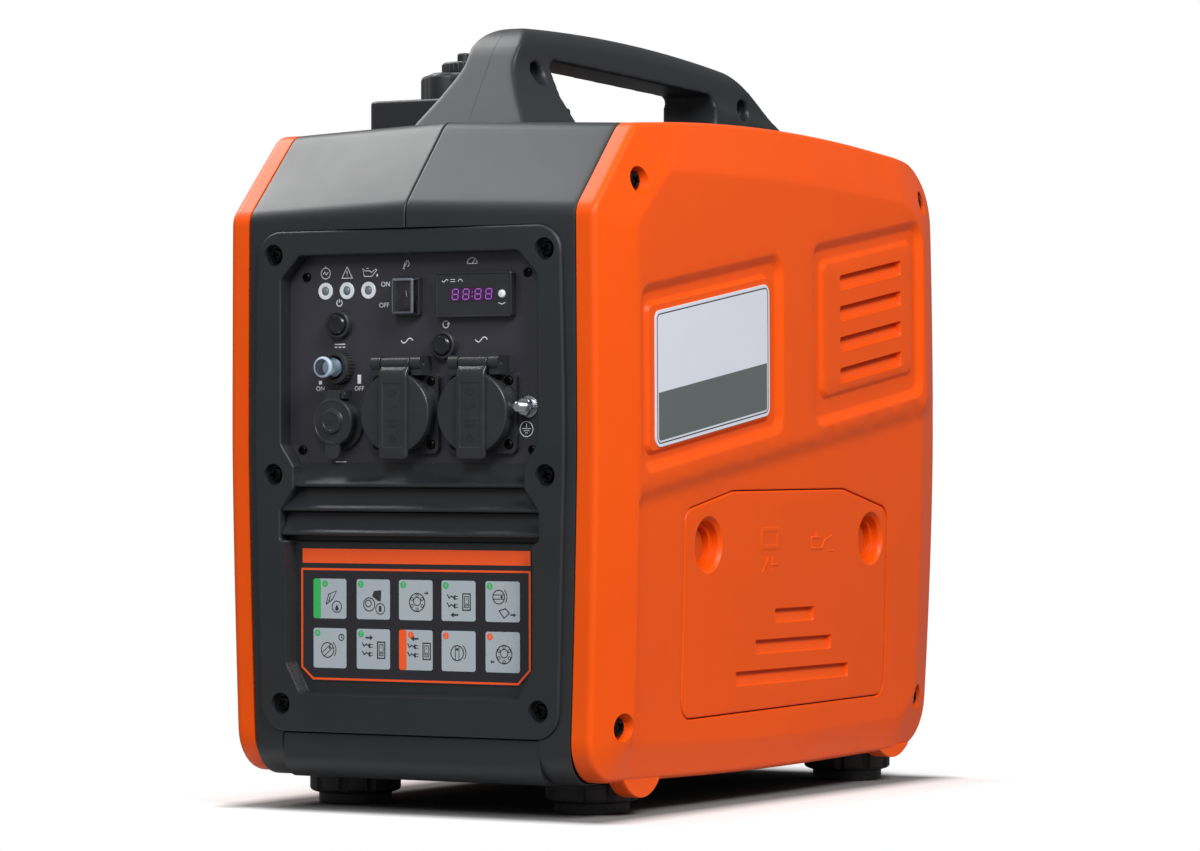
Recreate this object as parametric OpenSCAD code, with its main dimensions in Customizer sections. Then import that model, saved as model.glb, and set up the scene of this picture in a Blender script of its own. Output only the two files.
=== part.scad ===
// Portable inverter generator in a moulded carrying case.
// The row frame has its origin on the floor at the middle of the footprint, +Z up, with the control
// panel facing -Y. Inside the modules y is counted from the bezel's front face towards the rear.

/* [Housing] */
// Length from the bezel's front face to the rear of the covers
body_length = 470; // [455:1:490]
// Height of the covers' bowed top at its highest
body_top = 430; // [426:1:436]
// Height of the housing's flat underside above the floor
underside = 20; // [18:0.5:24]
// Half width over the black shells, where a side cover starts
shell_half = 120; // [118:0.5:124]
// How far a side cover stands out from the shells
cover_depth = 22; // [20:0.5:25]
// Wall of the black shells
shell_wall = 3.5; // [3:0.25:4.5]
// Wall of the side covers at the bottom of their pockets
cover_wall = 4; // [3:0.25:5]
// Width of the sloped band round a side cover
cover_band = 28; // [22:1:32]
// How much of the depth that band slopes through
band_fall = 8; // [6:0.5:10]
// How far the shells' front stands behind the bezel's front at the covers
front_inset = 3; // [2:0.25:5]
// How far the middle ridge stands ahead of the shells' sides on the front face
ridge_lead = 4.5; // [3:0.5:6]
// How far the middle ridge stands ahead at the top of the slope
slope_lead = 8; // [6:0.5:10]
// How far the middle ridge rises above the shells' sides
ridge_rise = 4.5; // [3:0.5:6]
// How far above the bezel the front turns into the slope
slope_gap = 10; // [8:0.5:14]
// How far back the slope runs
slope_run = 51; // [45:1:58]
// Visible gap between parts that close against each other
shut_gap = 0.3; // [0.2:0.05:0.5]
// Clearance of a screw's thread in its hole
thread_gap = 0.05; // [0.03:0.01:0.1]

/* [Side cover] */
// Rise angle of the plate, vents and dividing step towards the rear
slant = 8.3; // [6:0.1:10]
// Depth of the pockets in a side cover
pocket_depth = 4; // [3:0.25:4.5]
// Width of the sloped wall round a pocket
pocket_slope = 8; // [6:0.5:10]
// Height of the raised pads in the pockets
pad_height = 2.6; // [2:0.1:3]
// Length of the side plate
plate_length = 146; // [130:1:150]
// Height of the side plate
plate_height = 84; // [70:1:86]
// Thickness of the side plate
plate_thick = 0.8; // [0.5:0.1:1]
// Length of a vent slot
vent_length = 88; // [70:1:100]
// Height of a vent slot
vent_height = 9.5; // [7:0.25:11]
// Distance between vent slots
vent_pitch = 20.3; // [18:0.1:21]
// Radius of the recesses over the cover screws
cover_recess_r = 8.5; // [7.5:0.25:9.5]

/* [Service cover] */
// Thickness of the service cover
service_thick = 3.6; // [3:0.1:4]
// Gap round the service cover
service_gap = 0.6; // [0.4:0.1:1]
// Radius of the two cups round the latches
latch_cup_r = 18; // [16:0.5:19]
// Depth of those cups
latch_cup_depth = 18; // [14:0.5:20]
// Radius of the slotted latch
latch_r = 11; // [9:0.5:12]

/* [Handle] */
// How high the grip's top stands over the covers' top
handle_top = 64; // [58:0.5:72]
// Radius of the grip's long bow
handle_bow = 1790; // [1500:10:2200]
// Half width of the grip
grip_half = 18.5; // [16:0.5:20]
// Height of the grip's section
grip_height = 22.5; // [20:0.5:26]
// Half width of a strut where it meets the shell
strut_half = 41; // [34:1:44]
// Length of the finger opening
finger_length = 210; // [180:1:216]

/* [Bezel] */
// Half width of the bezel at its widest
bezel_half = 113; // [112:0.25:114]
// Height of the bezel's lower edge
bezel_low = 49; // [46:0.5:52]
// How far the bezel's top stands above the AC sockets' centres
bezel_rise = 113.8; // [113:0.1:115]
// Depth of the bezel, which is where the control panel starts
bezel_depth = 11; // [10:0.25:13]
// Wall of the bezel
bezel_wall = 3; // [2.5:0.25:3.5]
// Radius of the recesses over the bezel screws
bezel_recess_r = 7; // [6.5:0.25:7.5]
// Thickness of the control panel
panel_thick = 3; // [2:0.25:4]
// Number of air intake blades
blade_count = 3; // [2:1:3]
// Distance between the blades
blade_pitch = 16.8; // [15:0.1:17]

/* [Sockets] */
// Side of the square flange of an AC socket
flange_side = 50; // [48:0.5:52]
// Distance between the centres of the AC sockets
socket_pitch = 56.3; // [55:0.1:58]
// Height of the AC sockets
socket_height = 247.2; // [246:0.1:249]
// Radius of the well that takes an AC plug
well_r = 19.5; // [19.2:0.1:20]
// Depth of that well
well_depth = 17.5; // [17:0.25:20]
// Radius of an AC lid
lid_r = 25; // [24.5:0.1:25.5]
// Height of an AC lid's hinge above the socket's centre
lid_hinge_rise = 30.5; // [30:0.1:31.5]
// Radius of the hinge pins of the lids
hinge_pin_r = 1.5; // [1.2:0.1:1.8]
// Running clearance of a hinge pin
pin_gap = 0.05; // [0.03:0.01:0.1]
// Radius of the DC socket's well
dc_well_r = 10.5; // [10.45:0.05:10.6]
// Radius of the DC lid
dc_lid_r = 14.8; // [14:0.1:15]

/* [Controls] */
// Radius of the start and reset buttons
button_r = 6.5; // [6:0.1:7]
// Radius of their collars
collar_r = 8.8; // [8.4:0.1:9.4]
// Travel of the start and reset buttons
button_travel = 2.5; // [1.5:0.25:3]
// Radius of the breaker's knurled ring
breaker_r = 10.9; // [10:0.1:11]
// Radius of the breaker's clear boot
boot_r = 6.6; // [6:0.1:7]
// How far the breaker's boot stands ahead of the bezel's front
boot_reach = 10; // [8:0.5:11]
// Width of the meter
meter_width = 55; // [52:0.5:56]
// Height of the meter
meter_height = 28; // [26:0.5:29]
// Width of the rocker switch's frame
switch_width = 18.4; // [17:0.2:19]
// Height of the rocker switch's frame
switch_height = 24.6; // [23:0.2:25]
// Radius of the earth stud
stud_r = 3; // [2.5:0.5:3.5]

/* [Fuel] */
// Radius of the fuel cap between its lobes
cap_r = 33; // [31:0.5:34]
// Number of lobes on the fuel cap
cap_lobes = 6; // [5:1:8]
// Outer radius of the filler neck
neck_r = 25; // [22:0.5:26]
// How far the tank's top lies below the covers' top
tank_top = 20; // [18:1:30]
// Height of the tank
tank_height = 108; // [90:1:112]

/* [Feet] */
// Radius of a foot's fluted ring
foot_r = 32; // [28:0.5:32]
// Radius of a foot's lower pad
foot_pad_r = 26; // [22:0.5:27]
// Height of the lower pad
foot_pad_height = 6; // [4:0.5:8]
// Distance of the feet from the middle
foot_x = 87.7; // [80:0.5:87.7]
// Distance of the front feet from the bezel's front
foot_front = 75; // [70:1:85]
// Distance of the rear feet from the covers' rear
foot_rear = 55; // [50:1:65]

/* [Engine] */
// Height of the crankshaft
crank_height = 125; // [120:1:128]
// Distance of the crankshaft ahead of the covers' rear
crank_back = 170; // [165:1:175]
// Radius of the crankshaft
crank_r = 12; // [10:0.5:13]
// Outer radius of the generator's rotor
rotor_r = 72; // [66:1:75]
// Radius of the cooling fan
fan_r = 82; // [76:1:84]
// Number of fan blades
fan_blades = 12; // [8:1:16]
// Number of stator teeth
stator_teeth = 12; // [9:3:18]
// Number of cylinder fins
fin_count = 5; // [3:1:5]

/* [Hidden] */
$fn = 48;

// ---- derived values ----
front_y = -(body_length - boot_reach) / 2;
cover_x = shell_half + cover_depth;
band_x = cover_x - band_fall;
pocket_x = cover_x - pocket_depth;
bezel_high = socket_height + bezel_rise;
slope_foot = bezel_high + slope_gap;
slope_top = body_top - 5.5;
grip_top = body_top + handle_top;
tank_high = body_top - tank_top;
mid_z = (underside + body_top) / 2;
rear_y = body_length;
crank_y = rear_y - crank_back;
half_space = 600;

// Places of the cover screws: y and z
cover_screw_places = [[33, body_top - 43], [21, underside + 37],
    [rear_y - 32, body_top - 39], [rear_y - 35, underside + 34]];
// Places of the bezel screws on the right: x and z
bezel_screw_places = [[bezel_half - 14, bezel_high - 15], [bezel_half - 13.6, socket_height - 38.2],
    [bezel_half - 18.8, bezel_low + 17]];
// Places of the control panel's own screws on the right: x and z
panel_screw_places = [[81, socket_height + 85.3], [84.2, socket_height - 22.7]];
foot_places = [for (x = [-foot_x, foot_x], y = [foot_front, rear_y - foot_rear]) [x, y]];

socket_mid = 21.5;
socket_x = [socket_mid - socket_pitch / 2, socket_mid + socket_pitch / 2];
flange_front = bezel_depth - 3.5;
drum_front = 2;
lid_back = drum_front - shut_gap;
lid_front = -4;
lid_axis_y = 1;
dc_x = -55.5;
dc_z = socket_height - 5.2;
dc_axis_y = 3.5;
dc_axis_rise = 17.5;
start_x = -55.5;
start_z = socket_height + 55.3;
reset_x = 21.8;
reset_z = socket_height + 41.5;
breaker_x = -56;
breaker_z = socket_height + 28.5;
switch_x = -4.4;
switch_z = socket_height + 72;
meter_x = 45;
meter_z = socket_height + 72.3;
meter_button_x = 65.4;
lamp_x = [-67, -51, -35];
lamp_z = socket_height + 76.3;
earth_x = socket_x[1] + flange_side / 2 + 7.05;
earth_z = socket_height + 3.5;
cap_x = -62;
cap_y = 179;
platform_top = body_top + 20;
dial_y = 88;
dial_z = 262;
dial_r = 24;
dial_cup_r = 29;
grip_y = 168;
grip_z = 283;
latch_y = [135.3, rear_y - 115];
latch_z = 164.9;

// ---- outlines ----
function unit(v) = v / norm(v);

// Points of an arc round q, between the tangent points of its two edges
function corner_arc(p, q, s, r) =
    let (u = unit([p[0] - q[0], p[1] - q[1]]), w = unit([s[0] - q[0], s[1] - q[1]]),
        half = acos(max(-1, min(1, u * w))) / 2, t = r / tan(half),
        c = [q[0], q[1]] + unit(u + w) * r / sin(half),
        a = [q[0], q[1]] + u * t - c, b = [q[0], q[1]] + w * t - c,
        a0 = atan2(a[1], a[0]), d = atan2(a[0] * b[1] - a[1] * b[0], a * b),
        n = max(3, ceil(abs(d) / 11)))
    [for (k = [0:n]) c + r * [cos(a0 + d * k / n), sin(a0 + d * k / n)]];

// A closed outline from corners given as [a, b, radius]
function rounded(c) = [for (i = [0:len(c) - 1])
    let (n = len(c), q = c[i])
    each (q[2] > 0 ? corner_arc(c[(i + n - 1) % n], q, c[(i + 1) % n], q[2]) : [[q[0], q[1]]])];

// Corners of an anticlockwise outline moved inwards by d, with radii that follow
function inset(c, d, least = 0.5) = [for (i = [0:len(c) - 1])
    let (n = len(c), p = c[(i + n - 1) % n], q = c[i], s = c[(i + 1) % n],
        e = unit([q[0] - p[0], q[1] - p[1]]), f = unit([s[0] - q[0], s[1] - q[1]]),
        m = [-e[1], e[0]], k = [-f[1], f[0]], g = d / (1 + m * k),
        bend = e[0] * f[1] - e[1] * f[0])
    [q[0] + (m[0] + k[0]) * g, q[1] + (m[1] + k[1]) * g,
        max(least, q[2] - (bend > 0 ? d : -d))]];

// Corners of a rectangle
function box_corners(a0, b0, a1, b1, r) = [[a0, b0, r], [a1, b0, r], [a1, b1, r], [a0, b1, r]];

// Corners of a slanted panel whose lower front corner is at [y, z]
function slanted(y, z, long, high, r) =
    let (rise = long * tan(slant))
    [[y, z, r], [y + long, z + rise, r], [y + long, z + rise + high, r], [y, z + high, r]];

// The case seen from its side: lead and rise lift the middle ridge, sag bows the lower edge
function side_corners(lead, slope, rise, sag) = [
    [front_inset - lead, underside + sag, 16],
    if (sag > 0) [rear_y * 0.47, underside - sag, 5000],
    [rear_y - 7, underside + sag, 34],
    [rear_y + 3, mid_z, 3500],
    [rear_y - 4, body_top - 14 + rise * 0.5, 45],
    [rear_y * 0.48, body_top + 5 + rise, rear_y * 4.25],
    [front_inset + slope_run - slope, slope_top + rise, 16],
    [front_inset - lead, slope_foot + rise * 0.9, 14]];
side_outline = side_corners(0, 0, 0, 0);
ridge_outline = side_corners(ridge_lead, slope_lead, ridge_rise, 0);
cover_outline = side_corners(0, 0, 0, 2.5);
// The band is narrower along the bottom
face_outline = [for (p = inset(cover_outline, cover_band, 14)) p[1] < mid_z - 50 ?
    [p[0], p[1] - 6, p[2]] : p];

label_pocket = slanted(43.5, 207.5, 183, 118, 12);
label_pad = slanted(52, 219.5, 160, 95, 7);
plate_corners = slanted(61.5 + (146 - plate_length) / 2, 225, plate_length, plate_height, 6);
vent_pocket = slanted(265, 236, rear_y - 310, 122, 12);
vent_pad = slanted(279, 255, rear_y - 335, 92.5, 8);
// The field below the dividing step runs out through the lower band
lower_field = [[39, underside - 14, 1], [rear_y + 30, underside - 14, 1],
    [rear_y + 30, 200 + (rear_y - 11) * tan(slant), 1], [39, 200, 22]];
service_corners = [[105, 57, 12], [rear_y - 91.5, 60.5, 10], [rear_y - 91.5, 184.5, 10],
    [rear_y - 154, 198, 30], [166, 198, 30], [105, 186.5, 10]];

bezel_corners = [[-bezel_half + 4.5, bezel_low, 17], [bezel_half - 4.5, bezel_low, 17],
    [bezel_half + 0.5, 230, 1500], [bezel_half - 2.2, bezel_high, 17],
    [-bezel_half + 2.2, bezel_high, 17], [-bezel_half - 0.5, 230, 1500]];
// Window over the control panel and the louvre, pinched in at the middle screws
window_foot = socket_height - 79.2;
panel_foot = socket_height - 32.7;
panel_head = socket_height + 98.3;
window_corners = [[-94.5, window_foot, 2], [94.5, window_foot, 2], [94.5, window_foot + 19, 3],
    [84.2, panel_foot - 13.5, 3], [84.2, panel_foot, 3], [93.7, panel_foot + 13.5, 4],
    [93.7, panel_head - 14.5, 4], [80, panel_head, 4], [-80, panel_head, 4],
    [-93.7, panel_head - 14.5, 4], [-93.7, panel_foot + 13.5, 4], [-84.2, panel_foot, 3],
    [-84.2, panel_foot - 13.5, 3], [-94.5, window_foot + 19, 3]];
panel_corners = [[-88, panel_foot - 0.7, 2], [88, panel_foot - 0.7, 2], [97.2, panel_foot + 11.5, 5],
    [97.2, panel_head - 12.5, 5], [82, panel_head + 3.5, 5], [-82, panel_head + 3.5, 5],
    [-97.2, panel_head - 12.5, 5], [-97.2, panel_foot + 11.5, 5]];
recess_high = window_foot - 3.5;
recess_corners = [[-78.5, 74, 3], [78.5, 74, 3], [88.5, 92, 3], [88.5, recess_high, 3],
    [-88.5, recess_high, 3], [-88.5, 92, 3]];
plate_front_corners = [[-75, 80.5, 2], [75, 80.5, 2], [84.5, 89, 2], [84.5, recess_high - 1.5, 1],
    [-84.5, recess_high - 1.5, 1], [-84.5, 89, 2]];

// ---- building helpers ----
// A profile in y and z pushed along x
module along_x(x0, x1) {
    translate([x0, 0, 0]) rotate([90, 0, 90]) linear_extrude(x1 - x0) children();
}

// A profile in x and z pushed along y
module along_y(y0, y1) {
    translate([0, y1, 0]) rotate([90, 0, 0]) linear_extrude(y1 - y0) children();
}

module rod_x(x0, x1, r) {
    translate([x0, 0, 0]) rotate([0, 90, 0]) cylinder(h = x1 - x0, r = r);
}

module rod_y(y0, y1, r) {
    translate([0, y0, 0]) rotate([-90, 0, 0]) cylinder(h = y1 - y0, r = r);
}

module cone_y(y0, y1, r0, r1) {
    translate([0, y0, 0]) rotate([-90, 0, 0]) cylinder(h = y1 - y0, r1 = r0, r2 = r1);
}

module box(a, b) {
    translate(a) cube(b - a);
}

// Moves local places, counted from the bezel's front, into the row frame
module seat() {
    translate([0, front_y, 0]) children();
}

module both_sides() {
    children();
    mirror([1, 0, 0]) children();
}

// ---- side covers ----
// The dished block of a side cover, solid
module cover_block() {
    hull() {
        along_x(shell_half, band_x) polygon(rounded(cover_outline));
        along_x(cover_x - 0.1, cover_x) polygon(rounded(face_outline));
    }
}

module cover_hollow() {
    inner_x = pocket_x - cover_wall;
    hull() {
        along_x(shell_half - 1, band_x - cover_wall) polygon(rounded(inset(cover_outline, cover_wall)));
        along_x(inner_x - 1, inner_x) polygon(rounded(inset(face_outline, cover_wall / 2)));
    }
}

// A pocket with sloped walls in the outer face
module sloped_pocket(corners) {
    hull() {
        along_x(pocket_x, cover_x) polygon(rounded(inset(corners, pocket_slope)));
        along_x(cover_x, cover_x + 1) polygon(rounded(corners));
    }
}

module cover_screw_boss(place) {
    translate([0, place[0], place[1]]) rod_x(shell_half + 0.5, cover_x - 6, cover_recess_r + 2.5);
}

module cover_screw_recess(place) {
    translate([0, place[0], place[1]]) {
        rod_x(shell_half + 6, cover_x + 5, cover_recess_r);
        rod_x(shell_half - 5, shell_half + 10, 2.5 + thread_gap);
    }
}

// Half-round pads that carry the cover when the case lies on its side
module cover_lug(y, reach, r) {
    intersection() {
        translate([0, y, underside - reach + r]) rod_x(shell_half + 2, cover_x - 3, r);
        box([shell_half, y - r, 0], [cover_x, y + r, underside + 3.5]);
    }
}

module vent_slots() {
    depth = 3;
    for (i = [0:3])
        along_x(pocket_x + pad_height - depth, cover_x + 1)
            polygon(rounded(slanted(305.5, 328.3 - i * vent_pitch, vent_length, vent_height, 2.5)));
}

// What both covers share: block, hollow, screw recesses, vent panel and lugs
module common_cover() {
    difference() {
        union() {
            difference() {
                cover_block();
                cover_hollow();
            }
            for (place = cover_screw_places) intersection() {
                cover_screw_boss(place);
                box([shell_half, 3, underside], [cover_x, rear_y - 8, body_top - 4]);
            }
            cover_lug(37, 8, 47);
            cover_lug(rear_y - 82, 4.5, 33);
        }
        for (place = cover_screw_places) cover_screw_recess(place);
        sloped_pocket(label_pocket);
        sloped_pocket(vent_pocket);
        along_x(pocket_x, cover_x + 1) polygon(rounded(lower_field));
    }
    difference() {
        along_x(pocket_x - 0.5, pocket_x + pad_height) polygon(rounded(vent_pad));
        vent_slots();
    }
}

module right_cover() {
    color("#E65A14") seat() {
        difference() {
            common_cover();
            along_x(shell_half + 2, cover_x + 1) polygon(rounded(inset(service_corners, -service_gap)));
        }
        along_x(pocket_x - 0.5, pocket_x + pad_height) polygon(rounded(label_pad));
    }
}

module left_cover() {
    color("#E65A14") seat() mirror([1, 0, 0]) difference() {
        union() {
            common_cover();
            translate([0, dial_y, dial_z]) rod_x(shell_half + 6, pocket_x - 1, dial_cup_r + 3);
            along_x(shell_half + 2, pocket_x - 1) polygon(rounded(inset(grip_bay, -3)));
        }
        translate([0, dial_y, dial_z]) {
            rod_x(shell_half + 9, cover_x + 1, dial_cup_r);
            rod_x(shell_half, cover_x, 5 + 2 * thread_gap);
        }
        along_x(shell_half + 5, cover_x + 1) polygon(rounded(grip_bay));
        translate([0, grip_y, grip_z]) rod_x(shell_half, shell_half + 6, 6);
        intake_slots();
    }
}

grip_bay = slanted(grip_y - 40, grip_z - 40 * tan(slant) - 21, 80, 42, 10);

// Through slots for the cooling air, low in the left cover
module intake_slots() {
    for (i = [0:6])
        along_x(shell_half, cover_x + 1)
            polygon(rounded(box_corners(crank_y - 58, crank_height - 52 + i * 17,
                crank_y + 58, crank_height - 44 + i * 17, 3)));
}

module side_label() {
    color("#CDD0DC") seat()
        along_x(pocket_x + pad_height, pocket_x + pad_height + plate_thick)
            polygon(rounded(plate_corners));
}

// ---- service cover and its latches ----
module service_cover() {
    face = pocket_x;
    color("#E65A14") seat() difference() {
        union() {
            along_x(face - service_thick, face) polygon(rounded(service_corners));
            for (y = latch_y) translate([0, y, latch_z])
                rod_x(face - latch_cup_depth - 3, face - 1, latch_cup_r + 2.5);
        }
        for (y = latch_y) translate([0, y, latch_z]) {
            rod_x(face - 7, face + 1, latch_cup_r - 2);
            translate([face - 2, 0, 0]) rotate([0, 90, 0])
                cylinder(h = 2.1, r1 = latch_cup_r - 2, r2 = latch_cup_r);
            rod_x(face - latch_cup_depth, face, latch_r + 1);
            rod_x(face - latch_cup_depth - 5, face, 4 + pin_gap);
        }
        for (i = [0:2]) service_groove(i);
    }
}

// One of three grooves, each longer than the one above it
module service_groove(i) {
    long = 53 + i * 50;
    middle = 250.5;
    low = 114 - i * 19.3;
    along_x(pocket_x - 1.6, pocket_x + 1)
        polygon(rounded(box_corners(middle - long / 2, low, middle + long / 2, low + 8, 2)));
}

// Slotted quarter-turn latch with its short tongue behind the cup
module latch(y) {
    foot = pocket_x - latch_cup_depth;
    color("#D9541A") seat() translate([0, y, latch_z]) {
        difference() {
            rod_x(foot + shut_gap, foot + 6, latch_r);
            box([foot + 3.5, -1.4, -latch_r - 1], [foot + 7, 1.4, latch_r + 1]);
        }
        rod_x(foot - 6, foot + 1, 4);
        box([foot - 8, -5, -7], [foot - 3 - shut_gap, 5, 15]);
    }
}

module service_latch_front() latch(latch_y[0]);

module service_latch_rear() latch(latch_y[1]);

// ---- black shells and handle ----
module shell_outer() {
    hull() {
        along_x(0, 0.1) polygon(rounded(ridge_outline));
        along_x(shell_half - 0.25, shell_half - 0.15) polygon(rounded(side_outline));
    }
}

module shell_inner() {
    hull() {
        along_x(-1, 0) polygon(rounded(inset(ridge_outline, shell_wall)));
        along_x(shell_half, shell_half + 1) polygon(rounded(inset(side_outline, shell_wall)));
    }
}

// Frame round the bezel's well, with the bosses that take its screws
module front_frame() {
    back = bezel_depth + 4;
    along_y(front_inset, back) difference() {
        polygon(rounded(inset(bezel_corners, -3 - shut_gap)));
        polygon(rounded(inset(bezel_corners, -shut_gap)));
    }
    along_y(bezel_depth + shut_gap, back) difference() {
        polygon(rounded(inset(bezel_corners, -3)));
        polygon(rounded(inset(bezel_corners, 11)));
    }
    for (place = bezel_screw_places) translate([place[0], 0, place[1]])
        rod_y(bezel_depth + shut_gap, bezel_depth + 13, 7);
}

// Ledge under the side of the fuel tank, carried by the front flange and the rear wall
module tank_rail() {
    top = tank_high - tank_height - shut_gap;
    box([rear_half, bezel_depth + 1, top - 8], [shell_half - 6, rear_y - 20, top]);
    box([rear_half + 8, rear_y - 30, top - 8], [shell_half - 6, rear_y - 6, top]);
}

// Frame inside the rear wall that the rear panel's flange is screwed to
module rear_frame() {
    intersection() {
        along_y(rear_y - 10, rear_y - 6) difference() {
            polygon(rounded(rear_outline(8)));
            polygon(rounded(rear_outline(0)));
        }
        box([0, 0, 0], [shell_half, rear_y, body_top]);
    }
}

module cover_pillar(place) {
    low = place[1] > mid_z ? place[1] : underside + 2;
    slope_z = slope_foot + (place[0] - front_inset) / slope_run * (slope_top - slope_foot);
    high = place[1] < mid_z ? place[1] : place[0] > rear_y / 2 ? place[1] + 24 : slope_z - shell_wall;
    translate([0, place[0], place[1]]) rod_x(shell_half - 20, shell_half - 0.15, 7);
    box([shell_half - 14, place[0] - 2, low], [shell_half - 8, place[0] + 2, high]);
}

// The handle seen from the side, open round the fingers
handle_outline = [[64, slope_top - 6, 1], [rear_y - 8, slope_top - 12, 1], [rear_y - 18, slope_top + 18, 20],
    [rear_y - 94, grip_top - 8.5, 60], [rear_y - 120, grip_top + 8, 2], [180, grip_top + 3, 60],
    [111.5, grip_top - 1, 42]];
finger_outline = [[137, body_top - 8, 2], [140 + finger_length, body_top - 10, 2],
    [144 + finger_length, grip_top - 42, 20], [141 + finger_length, grip_top - grip_height - 7.5, 8],
    [140, grip_top - grip_height + 1.5, 6], [139.5, grip_top - 32, 20], [136, grip_top - 48, 30]];
// The handle seen from above: its front foot is wide and its rear foot as narrow as the grip
handle_plan = [[-1, 40], [strut_half + 8, 40], [strut_half + 8, 150], [grip_half + 3, 120 + finger_length],
    [grip_half + 3, rear_y], [-1, rear_y]];
// Half of the handle's section, pushed round the long bow
grip_section = [[-1, grip_top - 80, 0], [strut_half + 8, grip_top - 80, 1],
    [strut_half, grip_top - 61, 10],
    [grip_half + 10, grip_top - 43, 20], [grip_half + 0.5, grip_top - 26, 20], [grip_half, grip_top, 12],
    [-1, grip_top, 0]];

module handle_bowed_section() {
    middle = 180;
    span = 20;
    translate([0, middle, grip_top - handle_bow]) rotate([0, 90, 0]) rotate([0, 0, 180 - span / 2])
        rotate_extrude(angle = span, $fn = 720)
            polygon([for (p = rounded(grip_section)) [p[1] - grip_top + handle_bow, p[0]]]);
}

module handle_half() {
    difference() {
        intersection() {
            along_x(0, strut_half + 10) difference() {
                polygon(rounded(handle_outline));
                polygon(rounded(finger_outline));
            }
            handle_bowed_section();
            translate([0, 0, slope_top - 20]) linear_extrude(grip_top) polygon(handle_plan);
        }
        for (place = handle_screw_places) translate([0, place[0], place[1]]) rod_x(11, 60, 7.5);
    }
}
handle_screw_places = [[121.6, grip_top - 31], [rear_y - 76, grip_top - 38]];

module shell_half_body() {
    difference() {
        union() {
            difference() {
                shell_outer();
                shell_inner();
            }
            intersection() {
                front_frame();
                box([0, -5, 0], [shell_half, 60, body_top]);
            }
            for (place = cover_screw_places) cover_pillar(place);
            tank_rail();
            rear_frame();
            for (y = [150, rear_y * 0.62]) translate([80, y, tank_high + shut_gap])
                cylinder(h = body_top - 2 - tank_high, r = 6);
        }
        along_y(-20, bezel_depth + shut_gap) polygon(rounded(inset(bezel_corners, -shut_gap)));
        box([-1, -20, 0], [tray_half + shut_gap, rear_y - 15 + shut_gap, underside + 5]);
        box([-1, -20, 0], [tray_half + shut_gap, 18, bezel_low - shut_gap / 2]);
        along_y(rear_y - 15, rear_y + 20) polygon(rounded(rear_outline(0)));
        for (place = bezel_screw_places) translate([place[0], 0, place[1]])
            rod_y(0, bezel_depth + 10, 2.4 + thread_gap);
        for (place = cover_screw_places) translate([0, place[0], place[1]])
            rod_x(shell_half - 15, shell_half + 1, 2.5 + thread_gap);
    }
    difference() {
        handle_half();
        shell_inner_top();
        for (place = handle_screw_places) translate([0, place[0], place[1]])
            rod_x(-1, 20, 2 + thread_gap);
    }
}

// Keeps the handle's foot out of the shell's hollow
module shell_inner_top() {
    box([-1, 40, underside], [60, rear_y + 10, slope_top - 4]);
}

module right_shell() {
    color("#2D2E32") seat() shell_half_body();
}

module left_shell() {
    color("#2D2E32") seat() difference() {
        union() {
            mirror([1, 0, 0]) shell_half_body();
            translate([0, 0, body_top - 4]) linear_extrude(platform_top - body_top + 4)
                polygon(rounded(platform_corners));
        }
        translate([cap_x, cap_y, body_top - 20]) cylinder(h = 60, r = neck_r + 1.5);
    }
}
platform_corners = box_corners(-106, 116, -24, 242, 8);
tray_half = 93.7;
rear_half = 100;
rear_low = underside + 44;
rear_high = body_top - 60;
// Places of the rear panel's screws on the right: x and z
rear_screw_places = [[rear_half - 9, rear_low + 9], [rear_half - 9, rear_high - 9]];

// Corners of the rear opening, grown by g
function rear_outline(g) = box_corners(-rear_half - g, rear_low - g, rear_half + g, rear_high + g, 4 + g);

module handle_screws() {
    color("#1C1C1E") seat() for (place = handle_screw_places) translate([0, place[0], place[1]]) {
        difference() {
            rod_x(11, 14, 4.2);
            rod_x(12.5, 15, 1.6);
        }
        rod_x(-10, 11.2, 2);
    }
}

module cover_screws() {
    color("#1C1C1E") seat() both_sides() for (place = cover_screw_places)
        translate([0, place[0], place[1]]) {
            difference() {
                rod_x(shell_half + 6, shell_half + 9.2, 4.8);
                cross_x(shell_half + 7.4, shell_half + 10, 3);
            }
            rod_x(shell_half - 12, shell_half + 6.2, 2.5);
        }
}

// Cross recess of a screw whose head faces x
module cross_x(x0, x1, r) {
    box([x0, -0.6, -r], [x1, 0.6, r]);
    box([x0, -r, -0.6], [x1, r, 0.6]);
}

module cross_y(y0, y1, r) {
    box([-0.6, y0, -r], [0.6, y1, r]);
    box([-r, y0, -0.6], [r, y1, 0.6]);
}

// ---- front ----
module front_bezel() {
    color("#2B2C30") seat() difference() {
        along_y(0, bezel_depth) polygon(rounded(bezel_corners));
        along_y(-1, bezel_depth + 1) polygon(rounded(window_corners));
        hull() {
            along_y(-1, 0) polygon(rounded(inset(recess_corners, -5)));
            along_y(recess_depth - 1, recess_depth) polygon(rounded(recess_corners));
        }
        along_y(bezel_wall, bezel_depth + 1) difference() {
            polygon(rounded(inset(bezel_corners, bezel_wall)));
            polygon(rounded(inset(window_corners, -bezel_wall)));
            polygon(rounded(inset(recess_corners, -5 - bezel_wall)));
            for (x = [-1, 1], place = bezel_screw_places)
                translate([x * place[0], place[1]]) circle(r = bezel_recess_r + 2.5);
        }
        both_sides() for (place = bezel_screw_places) translate([place[0], 0, place[1]]) {
            rod_y(-1, 5, bezel_recess_r);
            rod_y(0, bezel_depth + 1, 2.4 + 2 * thread_gap);
        }
    }
}
recess_depth = 9.3;

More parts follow.
